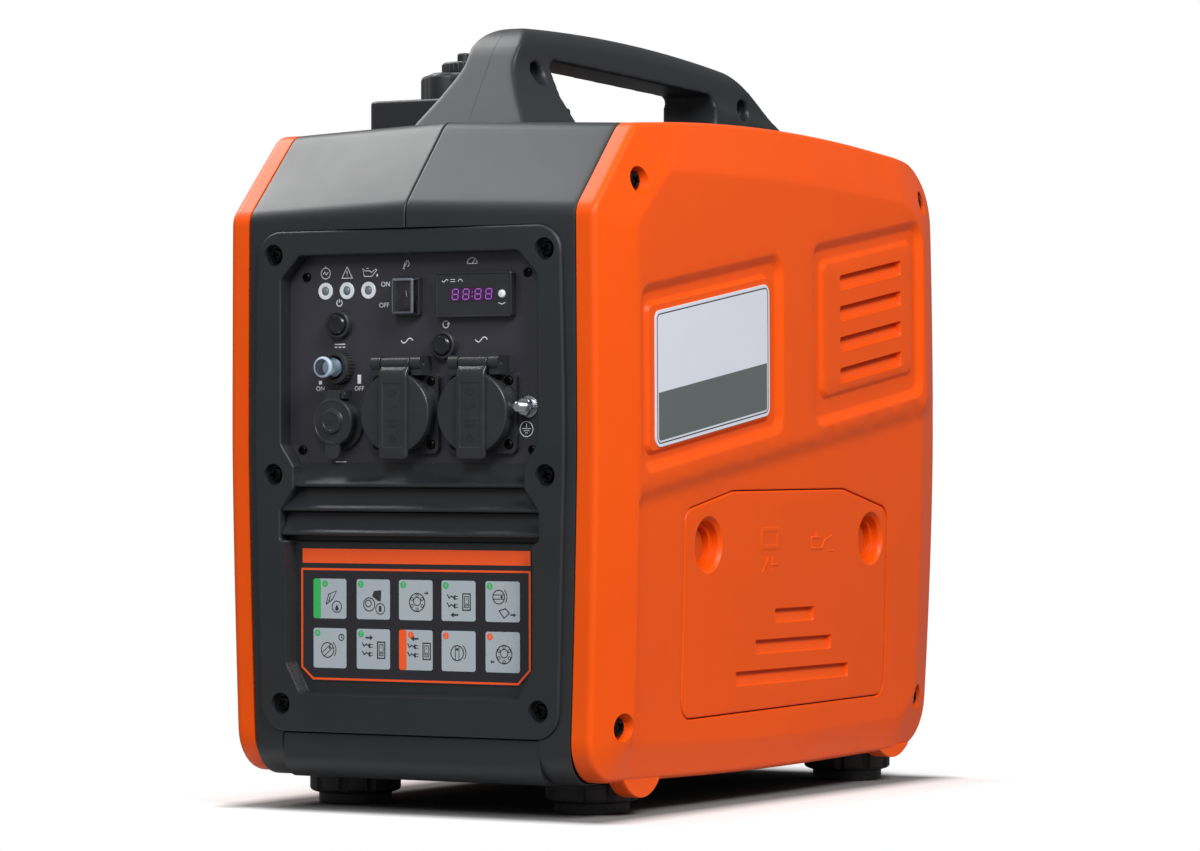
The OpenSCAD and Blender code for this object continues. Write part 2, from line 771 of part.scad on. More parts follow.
module end_screws() {
    color("#1C1C1E") seat() both_sides() {
        for (place = bezel_screw_places) translate([place[0], 0, place[1]]) {
            difference() {
                rod_y(1.6, 5, 4.8);
                cross_y(0, 3.4, 3);
            }
            rod_y(4.8, bezel_depth + 8, 2.4);
        }
        for (place = rear_screw_places) translate([place[0], 0, place[1]]) rear_bolt();
    }
}

// Bolts of the rear panel, whose heads face the rear
module rear_bolt() {
    face = rear_y - 6;
    difference() {
        rod_y(face, face + 3.4, 4.8);
        cross_y(face + 1.6, face + 5, 3);
    }
    rod_y(face - 16, face + 0.2, 2.4);
}

// Angled intake blades between two cheeks, with a mounting flange behind the bezel
module intake_louvre() {
    flange_back = bezel_depth + 3;
    color("#303136") seat() {
        intersection() {
            for (i = [0:blade_count - 1]) {
                low = panel_foot - 11 - i * blade_pitch;
                along_x(-100, 100) polygon([[3, low], [4.6, low - 0.6], [16, low + 8.6], [16, low + 10.4]]);
            }
            along_y(0, 20) polygon(rounded(inset(window_corners, shut_gap)));
        }
        difference() {
            along_y(bezel_depth, flange_back)
                polygon(rounded(box_corners(-98, window_foot - 4, 98, panel_foot - 3.9, 2)));
            box([-82, 0, window_foot + 0.5], [82, 30, panel_foot - 8.5]);
            both_sides() translate([bezel_screw_places[1][0], 0, bezel_screw_places[1][1]])
                rod_y(0, 30, 7.5);
        }
        both_sides() box([82, flange_back, window_foot + 0.5], [85, 18, panel_foot - 9.5]);
    }
}

module instruction_plate() {
    color("#3A3A40") seat() along_y(recess_depth - 0.4, recess_depth)
        polygon(rounded(plate_front_corners));
}

module rear_panel() {
    thick = 3;
    front = rear_y - 16;
    color("#2B2C30") seat() difference() {
        union() {
            along_y(front, rear_y - 10) polygon(rounded(rear_outline(6)));
            along_y(front, rear_y - 6) polygon(rounded(rear_outline(-shut_gap)));
        }
        along_y(front - 1, rear_y - 6 - thick) difference() {
            polygon(rounded(rear_outline(-5)));
            for (x = [-1, 1], place = rear_screw_places) translate([x * place[0], place[1]]) circle(r = 9);
        }
        for (x = [-1, 1], i = [0:8]) rear_slot(x, rear_low + 16 + i * 13);
        for (x = [-1, 1], i = [0:4]) rear_slot(x, rear_high - 24 - i * 13);
        translate([outlet_x, 0, outlet_z]) rod_y(front, rear_y, outlet_r + 4);
        both_sides() for (place = rear_screw_places) translate([place[0], 0, place[1]])
            rod_y(front, rear_y, 2.4 + thread_gap);
    }
}
outlet_x = 15;
outlet_z = 252;
outlet_r = 14;

module rear_slot(side, z) {
    along_y(rear_y - 20, rear_y + 1)
        polygon(rounded(box_corners(side * 48 - 38, z, side * 48 + 38, z + 6, 2)));
}

module base_tray() {
    floor_top = underside + 4;
    color("#26272A") seat() difference() {
        union() {
            along_x(-tray_half, tray_half) difference() {
                polygon(rounded([[front_inset, underside, 16], [rear_y - 15, underside, 1],
                    [rear_y - 15, bezel_low - shut_gap, 1], [front_inset, bezel_low - shut_gap, 1]]));
                polygon(rounded([[front_inset + 4, floor_top, 12], [rear_y, floor_top, 1],
                    [rear_y, bezel_low + 5, 1], [front_inset + 4, bezel_low + 5, 1]]));
            }
            for (place = foot_places) translate([place[0], place[1], floor_top - 1])
                cylinder(h = 11, r = 6);
            for (x = [-60, -20, 20, 60]) box([x - 1.5, 30, floor_top - 1], [x + 1.5, 225, floor_top + 0]);
        }
        for (place = foot_places) translate([place[0], place[1], 0]) cylinder(h = 60, r = 3 + thread_gap);
    }
}

module feet() {
    flutes = 14;
    color("#1A1A1C") seat() for (place = foot_places) translate([place[0], place[1], 0]) difference() {
        union() {
            cylinder(h = foot_pad_height, r = foot_pad_r);
            translate([0, 0, foot_pad_height]) cylinder(h = 3, r1 = foot_pad_r, r2 = foot_r);
            translate([0, 0, foot_pad_height + 3])
                cylinder(h = underside - foot_pad_height - 3, r = foot_r);
        }
        for (i = [0:flutes - 1]) rotate([0, 0, i * 360 / flutes])
            translate([foot_r + 1.5, 0, foot_pad_height + 3]) cylinder(h = underside, r = 3.6, $fn = 24);
        translate([0, 0, -1]) cylinder(h = 9, r = 8);
        cylinder(h = underside + 1, r = 3 + 2 * thread_gap);
    }
}

module foot_screws() {
    color("#8A8C90") seat() for (place = foot_places) translate([place[0], place[1], 0]) {
        difference() {
            translate([0, 0, 4.5]) cylinder(h = 3.5, r = 6);
            translate([0, 0, 4]) cylinder(h = 2.5, r = 2.6, $fn = 6);
        }
        translate([0, 0, 7]) cylinder(h = 25, r = 3);
    }
}

// ---- control panel ----
module control_panel() {
    color("#34323A") seat() difference() {
        union() {
            along_y(bezel_depth, bezel_depth + panel_thick) polygon(rounded(panel_corners));
            both_sides() for (place = panel_screw_places) translate([place[0], 0, place[1]])
                rod_y(bezel_depth + 1, bezel_depth + 9, 4.5);
        }
        both_sides() for (place = bezel_screw_places) translate([place[0], 0, place[1]])
            rod_y(0, 40, 7 + 2 * shut_gap);
        both_sides() for (place = panel_screw_places) translate([place[0], 0, place[1]])
            rod_y(0, bezel_depth + 8, 1.5 + thread_gap);
        for (x = socket_x) {
            translate([x, 0, socket_height]) rod_y(0, 40, socket_body_r + shut_gap);
            for (sx = [-1, 1], sz = [-1, 1])
                translate([x + sx * 19.5, 0, socket_height + sz * 19.5]) rod_y(0, 40, 1.5 + thread_gap);
        }
        translate([dc_x, 0, dc_z]) rod_y(0, 40, dc_body_r + shut_gap);
        translate([start_x, 0, start_z]) rod_y(0, 40, collar_neck_r + shut_gap);
        translate([reset_x, 0, reset_z]) rod_y(0, 40, collar_neck_r + shut_gap);
        translate([breaker_x, 0, breaker_z]) rod_y(0, 40, breaker_neck_r + shut_gap);
        along_y(0, 40) polygon(box_2d(switch_x, switch_z, switch_width - 3, switch_height - 3, shut_gap));
        along_y(0, 40) polygon(box_2d(meter_x, meter_z, meter_width - 5, meter_height - 4, shut_gap));
        for (x = lamp_x) translate([x, 0, lamp_z]) rod_y(0, 40, lamp_r + shut_gap / 2);
        translate([earth_x, 0, earth_z]) rod_y(0, 40, stud_r + 2 * thread_gap);
    }
}
socket_body_r = 22;
dc_body_r = 13;
collar_neck_r = 7.6;
breaker_neck_r = 8.5;
lamp_r = 2.6;

// Corners of a rectangle round a centre, grown by g on each side
function box_2d(x, z, w, h, g) = [[x - w / 2 - g, z - h / 2 - g], [x + w / 2 + g, z - h / 2 - g],
    [x + w / 2 + g, z + h / 2 + g], [x - w / 2 - g, z + h / 2 + g]];

module small_screw(face, long) {
    difference() {
        rod_y(face - 1.6, face, 2.9);
        cross_y(face - 3, face - 0.8, 1.8);
    }
    rod_y(face - 0.2, face + long, 1.5);
}

module panel_screws() {
    color("#1C1C1E") seat() {
        both_sides() for (place = panel_screw_places) translate([place[0], 0, place[1]])
            small_screw(bezel_depth, 7);
        for (x = socket_x, sx = [-1, 1], sz = [-1, 1])
            translate([x + sx * 19.5, 0, socket_height + sz * 19.5]) small_screw(flange_front + 0.8, 9);
    }
}

module domed_button(y, r, long) {
    rod_y(y + 1.2, y + long, r);
    cone_y(y, y + 1.2, r - 1.8, r);
}

module start_button() {
    color("#202024") seat() translate([start_x, 0, start_z]) domed_button(4, button_r, 14);
}

module reset_button() {
    color("#202024") seat() translate([reset_x, 0, reset_z]) domed_button(4, button_r, 14);
}

module button_collar() {
    difference() {
        union() {
            cone_y(6, 7.2, collar_r - 0.8, collar_r);
            rod_y(7.2, bezel_depth, collar_r);
            rod_y(bezel_depth, bezel_depth + 16, collar_neck_r);
            rod_y(bezel_depth + panel_thick, bezel_depth + panel_thick + 3, collar_r + 1.5);
        }
        rod_y(0, bezel_depth + 13, button_r + pin_gap);
    }
}

module button_collars() {
    color("#222226") seat() {
        translate([start_x, 0, start_z]) button_collar();
        translate([reset_x, 0, reset_z]) button_collar();
    }
}

module breaker_ring() {
    ribs = 30;
    color("#1E1E20") seat() translate([breaker_x, 0, breaker_z]) difference() {
        union() {
            cone_y(3.2, 4.4, breaker_r - 1.2, breaker_r - 0.4);
            rod_y(4.4, bezel_depth, breaker_r - 0.4);
            for (i = [0:ribs - 1]) rotate([0, i * 360 / ribs, 0])
                box([breaker_r - 1, 4.8, -0.5], [breaker_r, bezel_depth - 0.5, 0.5]);
            rod_y(bezel_depth, bezel_depth + 24, breaker_neck_r);
            rod_y(bezel_depth + panel_thick, bezel_depth + panel_thick + 3, breaker_r);
        }
        rod_y(0, bezel_depth + 18, boot_r + pin_gap);
    }
}

module breaker_boot() {
    color([0.85, 0.88, 0.9, 0.4]) seat() translate([breaker_x, 0, breaker_z]) difference() {
        union() {
            rod_y(-boot_reach + 1, bezel_depth + 2, boot_r);
            cone_y(-boot_reach, -boot_reach + 1, boot_r - 1, boot_r);
        }
        rod_y(-boot_reach + 1, bezel_depth + 3, boot_r - 0.8);
    }
}

module breaker_button() {
    color("#26262A") seat() translate([breaker_x, 0, breaker_z])
        rod_y(-boot_reach + 1 + shut_gap, bezel_depth + 14, boot_r - 0.8 - 2 * pin_gap);
}

module switch_frame() {
    color("#1B1B1D") seat() {
        translate([switch_x, bezel_depth + 2, switch_z])
            rod_x(-switch_width / 2 + 2, switch_width / 2 - 2, switch_pin_r);
        switch_case();
    }
}
switch_pin_r = 1.2;

module switch_case() {
    difference() {
        union() {
            along_y(7, bezel_depth) polygon(rounded(inset(switch_outline(0), 0)));
            along_y(bezel_depth, bezel_depth + 18)
                polygon(box_2d(switch_x, switch_z, switch_width - 3, switch_height - 3, 0));
        }
        along_y(0, bezel_depth + 15)
            polygon(box_2d(switch_x, switch_z, switch_width - 6, switch_height - 5.4, 0));
    }
}

function switch_outline(g) = box_corners(switch_x - switch_width / 2 - g, switch_z - switch_height / 2 - g,
    switch_x + switch_width / 2 + g, switch_z + switch_height / 2 + g, 1.5);

// Rocker with two faces that meet over its pivot
module switch_rocker() {
    half = (switch_height - 5.4) / 2 - 0.9;
    tip = 5.2;
    color("#3A1F20") seat() translate([switch_x, bezel_depth + 2, switch_z])
        rotate([-10, 0, 0]) difference() {
            along_x(-(switch_width - 6) / 2 + 0.2, (switch_width - 6) / 2 - 0.2)
                polygon([[-tip - 1.2, half - 1.5], [-tip, half - 0.2], [3, half - 0.6], [6, 3], [6, -3],
                    [3, -half + 0.6], [-tip, -half + 0.2], [-tip - 1.2, -half + 1.5], [-tip + 0.4, 0]]);
            rod_x(-20, 20, switch_pin_r + pin_gap);
        }
}

module switch_boot() {
    color([0.8, 0.82, 0.85, 0.35]) seat() difference() {
        along_y(1.6, 7 - 0.01) polygon(rounded(inset(switch_outline(0), 0.8)));
        along_y(2.4, 8) polygon(rounded(inset(switch_outline(0), 1.6)));
    }
}

module meter_body() {
    front = 5.5;
    color("#232226") seat() difference() {
        union() {
            along_y(front, bezel_depth) polygon(rounded(meter_outline(0, 1.5)));
            along_y(bezel_depth, bezel_depth + 22)
                polygon(box_2d(meter_x, meter_z, meter_width - 5, meter_height - 4, 0));
        }
        along_y(front - 1, front + 0.5) polygon(rounded(meter_outline(-1.4, 1)));
        along_y(front - 1, front + 2) polygon(window_2d(0));
        translate([meter_button_x, 0, meter_z]) rod_y(0, bezel_depth + 4, 2.6 + pin_gap);
    }
}

function meter_outline(g, r) = box_corners(meter_x - meter_width / 2 - g, meter_z - meter_height / 2 - g,
    meter_x + meter_width / 2 + g, meter_z + meter_height / 2 + g, r);

function window_2d(g) = box_2d(meter_x - 1.2, meter_z + 0.2, 35, 10, g);

module meter_window() {
    color("#59305C") seat() along_y(5.7, 7.5) polygon(window_2d(-0.1));
}

module meter_button() {
    color("#E8E8EA") seat() translate([meter_button_x, 0, meter_z]) rod_y(4.9, bezel_depth + 2, 2.6);
}

module indicator_lamps() {
    color("#E6E8EC") seat() for (x = lamp_x) translate([x, 0, lamp_z]) {
        difference() {
            rod_y(bezel_depth - 0.7, bezel_depth, 5.4);
            rod_y(0, 20, lamp_r + 0.2);
        }
        rod_y(bezel_depth - 1.1, bezel_depth + 9, lamp_r);
    }
}

// ---- AC sockets ----
module ac_socket(x) {
    ear = flange_side / 2;
    translate([x, 0, socket_height]) difference() {
        union() {
            along_y(flange_front, bezel_depth) polygon(rounded(box_corners(-ear, -ear, ear, ear, 4)));
            rod_y(drum_front, flange_front + 1, lid_r - 1);
            rod_y(flange_front, bezel_depth + 40, socket_body_r);
            both_sides() box([11, lid_axis_y - 2.5, ear - 1.8], [18, bezel_depth, lid_hinge_rise + 4.5]);
            both_sides() translate([0, lid_axis_y, lid_hinge_rise]) rod_x(11, 18, 4.5);
        }
        rod_y(0, drum_front + well_depth, well_r);
        both_sides() translate([9.5, 0, 0]) rod_y(0, bezel_depth + 30, 2.6);
        translate([0, lid_axis_y, lid_hinge_rise]) rod_x(-20, 20, hinge_pin_r + pin_gap);
        for (sx = [-1, 1], sz = [-1, 1]) translate([sx * 19.5, 0, sz * 19.5]) {
            rod_y(0, flange_front + 0.8, 3.3);
            rod_y(0, bezel_depth + 30, 1.5 + thread_gap);
        }
        for (s = [-1, 1]) box([-3.2, drum_front + 3, s * (well_r - 1) - 1.6],
            [3.2, drum_front + well_depth + 6, s * (well_r - 1) + 1.6]);
    }
}

module ac_sockets() {
    color("#1F1F22") seat() for (x = socket_x) ac_socket(x);
}

// Round sprung lid with its hinge knuckle and the raised rib down its middle
module ac_lid(x) {
    color("#222225") seat() translate([x, 0, socket_height]) difference() {
        union() {
            cone_y(lid_front, lid_front + 1, lid_r - 1, lid_r);
            rod_y(lid_front + 1, lid_back, lid_r);
            along_y(lid_front - 2, lid_front + 1)
                polygon(rounded(box_corners(-10.3, -28.5, 10.3, lid_hinge_rise + 3.5, 2)));
            box([-10.3, lid_front, -28.5], [10.3, lid_front + 3, -20]);
            box([-10.3, lid_front, 18], [10.3, lid_axis_y, lid_hinge_rise]);
            translate([0, lid_axis_y, lid_hinge_rise]) rod_x(-10.3, 10.3, 4.3);
        }
        rod_y(lid_front + 3, lid_back + 1, well_r + 1.5);
        translate([0, lid_axis_y, lid_hinge_rise]) rod_x(-20, 20, hinge_pin_r + pin_gap);
    }
}

module ac_lid_left() ac_lid(socket_x[0]);

module ac_lid_right() ac_lid(socket_x[1]);

module lid_hinge_pins() {
    color("#B8BABE") seat() {
        for (x = socket_x) translate([x, lid_axis_y, socket_height + lid_hinge_rise])
            rod_x(-17.5, 17.5, hinge_pin_r);
        translate([dc_x, dc_axis_y, dc_z + dc_axis_rise]) rod_x(-8, 8, dc_pin_r);
    }
}
dc_pin_r = 0.9;

// Sprung earth clips at the top and bottom of each AC well
module earth_clips() {
    back = drum_front + well_depth + 5;
    color("#C9A45C") seat() for (x = socket_x, s = [-1, 1]) translate([x, 0, socket_height])
        box([-2.5, drum_front + 4, s * (well_r - 1) - 0.6], [2.5, back, s * (well_r - 1) + 0.6]);
}

// ---- DC socket ----
module dc_socket() {
    color("#1F1F22") seat() translate([dc_x, 0, dc_z]) difference() {
        union() {
            rod_y(8, bezel_depth, 17.8);
            rod_y(4.6, 9, dc_lid_r - 0.6);
            rod_y(8, bezel_depth + 30, dc_body_r);
            both_sides() box([5.6, 2, dc_axis_rise - 3.1], [8, bezel_depth, dc_axis_rise + 2.2]);
        }
        rod_y(0, bezel_depth + 26, dc_well_r);
        translate([0, dc_axis_y, dc_axis_rise]) rod_x(-20, 20, dc_pin_r + pin_gap);
    }
}

module dc_lid() {
    color("#222225") seat() translate([dc_x, 0, dc_z]) difference() {
        union() {
            cone_y(0, 1, dc_lid_r - 1, dc_lid_r);
            rod_y(1, 4.3, dc_lid_r);
            rod_y(-1.6, 1, 7.5);
            along_y(0.6, 3.6) polygon(rounded(box_corners(-5, -22.5, 5, -8, 4.5)));
            box([-5.3, 0.6, 8], [5.3, 3.6, dc_axis_rise + 1]);
            translate([0, dc_axis_y, dc_axis_rise]) rod_x(-5.3, 5.3, 2.2);
        }
        translate([0, dc_axis_y, dc_axis_rise]) rod_x(-20, 20, dc_pin_r + pin_gap);
    }
}

// ---- earth terminal ----
module earth_stud() {
    color("#C4C6CA") seat() translate([earth_x, 0, earth_z]) {
        cone_y(-4, -3, stud_r - 0.6, stud_r);
        rod_y(-3, bezel_depth + 12, stud_r);
    }
}

module earth_fittings() {
    color("#C4C6CA") seat() translate([earth_x, 0, earth_z]) difference() {
        union() {
            rotate([0, 12, 0]) rotate([-90, 0, 0]) translate([0, 0, 4]) cylinder(h = 4.4, r = 5.6, $fn = 6);
            rod_y(8.4, 9.8, 5.4);
            rod_y(9.8, bezel_depth, 6.6);
            rotate([-90, 0, 0]) translate([0, 0, bezel_depth + panel_thick])
                cylinder(h = 4.4, r = 5.6, $fn = 6);
        }
        rod_y(0, 40, stud_r + thread_gap);
    }
}

// ---- fuel ----
module fuel_cap() {
    low = platform_top + shut_gap;
    lobe_r = 8;
    color("#1E1E20") seat() translate([cap_x, cap_y, low]) difference() {
        union() {
            cylinder(h = 17, r = cap_r);
            translate([0, 0, 17]) cylinder(h = 2, r1 = cap_r, r2 = cap_r - 3);
            for (i = [0:cap_lobes - 1]) rotate([0, 0, i * 360 / cap_lobes + 15])
                translate([cap_r - 4, 0, 0]) cylinder(h = 17.4, r = lobe_r);
        }
        translate([0, 0, -1]) cylinder(h = 14, r = neck_r + 1.5);
        cylinder(h = 30, r = 5 + pin_gap);
    }
}

module vent_knob() {
    low = platform_top + shut_gap + 19;
    color("#1E1E20") seat() translate([cap_x, cap_y, low]) {
        translate([0, 0, 0.4]) cylinder(h = 6, r = 21.8);
        translate([0, 0, 6.4]) cylinder(h = 1.6, r1 = 21.8, r2 = 20);
        box([-4, -18, 7], [4, 18, 13.4]);
        translate([0, 0, -4]) cylinder(h = 5, r = 5);
    }
}

// Moulded tank: hollow, with its filler neck under the cap
module fuel_tank() {
    low = tank_high - tank_height;
    wall = 3;
    body = box_corners(-104, 118, 104, rear_y - 90, 22);
    color("#2A2B2E") seat() difference() {
        union() {
            translate([0, 0, low]) linear_extrude(tank_height) polygon(rounded(body));
            translate([cap_x, cap_y, tank_high - 1]) cylinder(h = neck_top - tank_high + 1, r = neck_r);
        }
        translate([0, 0, low + wall]) linear_extrude(tank_height - 2 * wall)
            polygon(rounded(inset(body, wall)));
        translate([cap_x, cap_y, tank_high - wall - 1]) cylinder(h = 80, r = neck_r - 3);
    }
}
neck_top = platform_top + 10;

// ---- engine and generator, inside the case ----
module at_crank() {
    translate([0, crank_y, crank_height]) children();
}

module engine_block() {
    color("#9A9C9E") seat() difference() {
        union() {
            along_x(-8, 60) polygon(rounded([[crank_y - 55, mount_top, 6], [crank_y + 55, mount_top, 6],
                [crank_y + 58, crank_height, 30], [crank_y + 38, crank_height + 60, 8],
                [crank_y - 38, crank_height + 60, 8], [crank_y - 58, crank_height, 30]]));
            translate([0, crank_y, crank_height]) rod_x(59, 72, 40);
            box([-8, crank_y - 62, mount_top], [70, crank_y + 62, mount_top + 8]);
        }
        at_crank() rod_x(-20, 56, crank_r + pin_gap);
    }
}
mount_top = underside + 30;

module engine_mounts() {
    color("#18181A") seat() for (x = [9, 53], y = [crank_y - 50, crank_y + 50])
        translate([x, y, underside + 4]) difference() {
            cylinder(h = mount_top - underside - 4, r = 13);
            translate([0, 0, 9]) rotate_extrude() translate([15.5, 0]) circle(r = 5, $fn = 24);
        }
}

module cylinder_head() {
    low = crank_height + 60;
    fin = 44;
    color("#B4B6B8") seat() translate([26, crank_y, low]) {
        translate([0, 0, shut_gap]) cylinder(h = 82, r = 32);
        for (i = [0:fin_count - 1]) translate([-fin, -fin, 36 + i * 9]) cube([2 * fin, 2 * fin, 2.6]);
        translate([-40, -45, 80]) cube([80, 90, 25]);
        translate([0, 0, 105]) linear_extrude(8) polygon(rounded(box_corners(-32, -36, 32, 36, 8)));
    }
}

module crankshaft() {
    color("#A8AAAD") seat() at_crank() {
        rod_x(-102, 54, crank_r);
    }
}

module rotor() {
    hub = crank_r + 8;
    color("#7C7E82") seat() at_crank() difference() {
        union() {
            rod_x(-78, -22, rotor_r);
            rod_x(-80, -60, hub);
        }
        difference() {
            rod_x(-74, -20, rotor_r - 7);
            rod_x(-75, -60, hub);
        }
        rod_x(-90, 0, crank_r + thread_gap);
    }
}

module stator() {
    out = rotor_r - 9;
    color("#B0602C") seat() at_crank() difference() {
        rod_x(-56, -8 - shut_gap, out);
        rod_x(-60, 0, crank_r + 6);
        for (i = [0:stator_teeth - 1]) rotate([i * 360 / stator_teeth, 0, 0])
            box([-60, crank_r + 22, -3], [-24, out + 5, 3]);
    }
}

module cooling_fan() {
    color("#3B3D42") seat() at_crank() difference() {
        union() {
            rod_x(-84, -81, fan_r);
            rod_x(-97, -81, crank_r + 10);
            for (i = [0:fan_blades - 1]) rotate([i * 360 / fan_blades, 0, 0])
                translate([-97, crank_r + 8, 0]) rotate([18, 0, 0])
                    cube([14, fan_r - crank_r - 16, 2.4]);
        }
        rod_x(-110, 0, crank_r + thread_gap);
    }
}

module fan_shroud() {
    color("#2F3034") seat() at_crank() difference() {
        rod_x(-108, -8 - shut_gap, fan_r + 7);
        rod_x(-104, 0, fan_r + 3.5);
        rod_x(-110, -100, 40);
        for (i = [0:11]) rotate([i * 30, 0, 0]) box([-110, 48, -4], [-100, fan_r - 6, 4]);
    }
}

module muffler() {
    front = crank_y + 45 + shut_gap;
    color("#8E8880") seat() {
        along_x(-70, 100) polygon(rounded(box_corners(crank_y + 72, 196, rear_y - 24, 296, 18)));
        translate([26, 0, 277]) rod_y(front, crank_y + 75, 12);
        translate([26, 0, 277]) rod_y(front, front + 6, 18);
        translate([outlet_x, 0, outlet_z]) difference() {
            rod_y(rear_y - 26, rear_y - 5, outlet_r);
            rod_y(rear_y - 22, rear_y, outlet_r - 2);
        }
    }
}

module carburettor() {
    rear = crank_y - 45 - shut_gap;
    color("#A6A8AA") seat() translate([26, 0, 277]) {
        rod_y(rear - 38, rear, 13);
        box([-18, rear - 4, -18], [18, rear, 18]);
        translate([0, rear - 20, -30]) cylinder(h = 22, r = 14);
    }
}

module air_cleaner() {
    rear = crank_y - 83 - 2 * shut_gap;
    color("#37383C") seat() difference() {
        along_y(rear - 82, rear) polygon(rounded(box_corners(-30, 220, 96, 297, 10)));
        for (i = [0:5]) box([97 - 2, rear - 75 + i * 12, 228], [98, rear - 70 + i * 12, 288]);
    }
}

// Finned power module standing behind the lower front
module inverter_module() {
    color("#5A5C60") seat() {
        box([-78, 42, underside + 4 + shut_gap], [78, 76, 204]);
        for (i = [0:12]) box([-74 + i * 12, 75, underside + 8], [-71.5 + i * 12, 94, 198]);
    }
}

module battery() {
    color("#202226") seat() {
        box([18, 106, underside + 4 + shut_gap], [104, crank_y * 0.64, 118]);
        for (x = [36, 86]) translate([x, 122, 117]) cylinder(h = 9, r = 5);
    }
}

// ---- left side: recoil grip and engine dial ----
module recoil_grip() {
    color("#1B1B1D") seat() mirror([1, 0, 0]) {
        along_x(pocket_x - 10, cover_x - 1)
            polygon(rounded(slanted(grip_y - 34, grip_z - 34 * tan(slant) - 9, 68, 18, 8)));
        translate([0, grip_y, grip_z]) rod_x(shell_half + 5 + shut_gap, pocket_x - 9, 9);
        translate([0, grip_y, grip_z]) rod_x(shell_half - 6, shell_half + 6, 5);
    }
}

module engine_dial() {
    base = shell_half + 9 + shut_gap;
    color("#1E1E20") seat() mirror([1, 0, 0]) translate([0, dial_y, dial_z]) {
        rod_x(base, base + 6, dial_r);
        along_x(base + 5, cover_x - 0.5) polygon(rounded(box_corners(-5, -dial_r + 2, 5, dial_r - 2, 4)));
        rod_x(shell_half - 10, base + 1, 5);
    }
}

right_cover();
left_cover();
right_shell();
left_shell();
front_bezel();
intake_louvre();
rear_panel();
base_tray();
feet();
foot_screws();
service_cover();
service_latch_front();
service_latch_rear();
side_label();
cover_screws();
end_screws();
handle_screws();
control_panel();
panel_screws();
instruction_plate();
start_button();
reset_button();
button_collars();
breaker_ring();
breaker_boot();
breaker_button();
switch_frame();
switch_rocker();
switch_boot();
meter_body();
meter_window();
meter_button();
indicator_lamps();
ac_sockets();
ac_lid_left();
ac_lid_right();
lid_hinge_pins();
earth_clips();
dc_socket();
dc_lid();
earth_stud();
earth_fittings();
fuel_cap();
vent_knob();
fuel_tank();
engine_block();
cylinder_head();
crankshaft();
rotor();
stator();
cooling_fan();
fan_shroud();
muffler();
air_cleaner();
carburettor();
inverter_module();
battery();
recoil_grip();
engine_dial();
engine_mounts();
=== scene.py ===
"""The portable generator's skins, trim and finishes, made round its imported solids."""
import math

import bmesh
import bpy
import numpy as np
from mathutils import Matrix, Vector, geometry


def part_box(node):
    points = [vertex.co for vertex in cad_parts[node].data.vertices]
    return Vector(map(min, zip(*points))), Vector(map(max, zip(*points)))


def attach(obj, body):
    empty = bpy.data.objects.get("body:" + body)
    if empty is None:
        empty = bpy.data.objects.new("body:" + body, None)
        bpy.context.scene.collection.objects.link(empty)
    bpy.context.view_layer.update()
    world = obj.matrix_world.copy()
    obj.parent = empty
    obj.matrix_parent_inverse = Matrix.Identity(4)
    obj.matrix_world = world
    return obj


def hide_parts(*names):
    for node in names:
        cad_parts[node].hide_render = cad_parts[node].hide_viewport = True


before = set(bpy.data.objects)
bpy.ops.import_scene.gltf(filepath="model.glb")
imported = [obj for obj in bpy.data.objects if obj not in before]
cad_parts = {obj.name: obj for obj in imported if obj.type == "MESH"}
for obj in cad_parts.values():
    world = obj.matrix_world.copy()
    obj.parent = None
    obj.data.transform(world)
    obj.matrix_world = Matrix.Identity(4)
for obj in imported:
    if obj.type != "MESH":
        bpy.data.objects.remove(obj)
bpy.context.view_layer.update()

bl_info = {
    "name": "Portable generator",
    "version": (1, 0, 0),
    "blender": (4, 5, 0),
    "location": "3D View > Sidebar > Generator",
    "description": "Makes the moulded case, the control panel and the finishes of a generator",
    "category": "Object",
}

# Everything is modelled in millimetres, with y counted from the bezel's front face
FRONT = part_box("front_bezel")[0].y
TO_ROW = Matrix.Translation((0, FRONT, 0)) @ Matrix.Scale(0.001, 4)


def cad(node):
    """Lowest and highest corner of a solid, in the millimetres used here."""
    low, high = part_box(node)
    shift = Vector((0, FRONT, 0))
    return (low - shift) * 1000, (high - shift) * 1000


# Half width over the shells, outer faces of the covers and the plate, and rear of the covers
SHELL = cad("right_shell")[1].x + 0.2
FACE = cad("right_cover")[1].x
PLATE_FACE = cad("side_label")[1].x
REAR = 470.0
COVER_WALL, SHELL_WALL = 2.4, 3.2
# Middle of the filler
FILLER = (-62, 179)
# How the cover's fields and pockets rise towards the rear
SLANT, FIELD_SLANT = math.tan(math.radians(8.3)), 0.142


# ---------------------------------------------------------------- outlines
def moved(corners, shrink):
    """Corners [a, b, radius] of an anticlockwise outline, moved inwards."""
    count, out = len(corners), []
    for i, (a, b, r) in enumerate(corners):
        p, s = corners[i - 1], corners[(i + 1) % count]
        e = np.array([a - p[0], b - p[1]]) / math.hypot(a - p[0], b - p[1])
        f = np.array([s[0] - a, s[1] - b]) / math.hypot(s[0] - a, s[1] - b)
        m, k = np.array([-e[1], e[0]]), np.array([-f[1], f[0]])
        g = shrink / (1 + m @ k)
        grow = shrink if e[0] * f[1] - e[1] * f[0] > 0 else -shrink
        out.append((a + (m + k)[0] * g, b + (m + k)[1] * g, max(0.05, r - grow)))
    return out


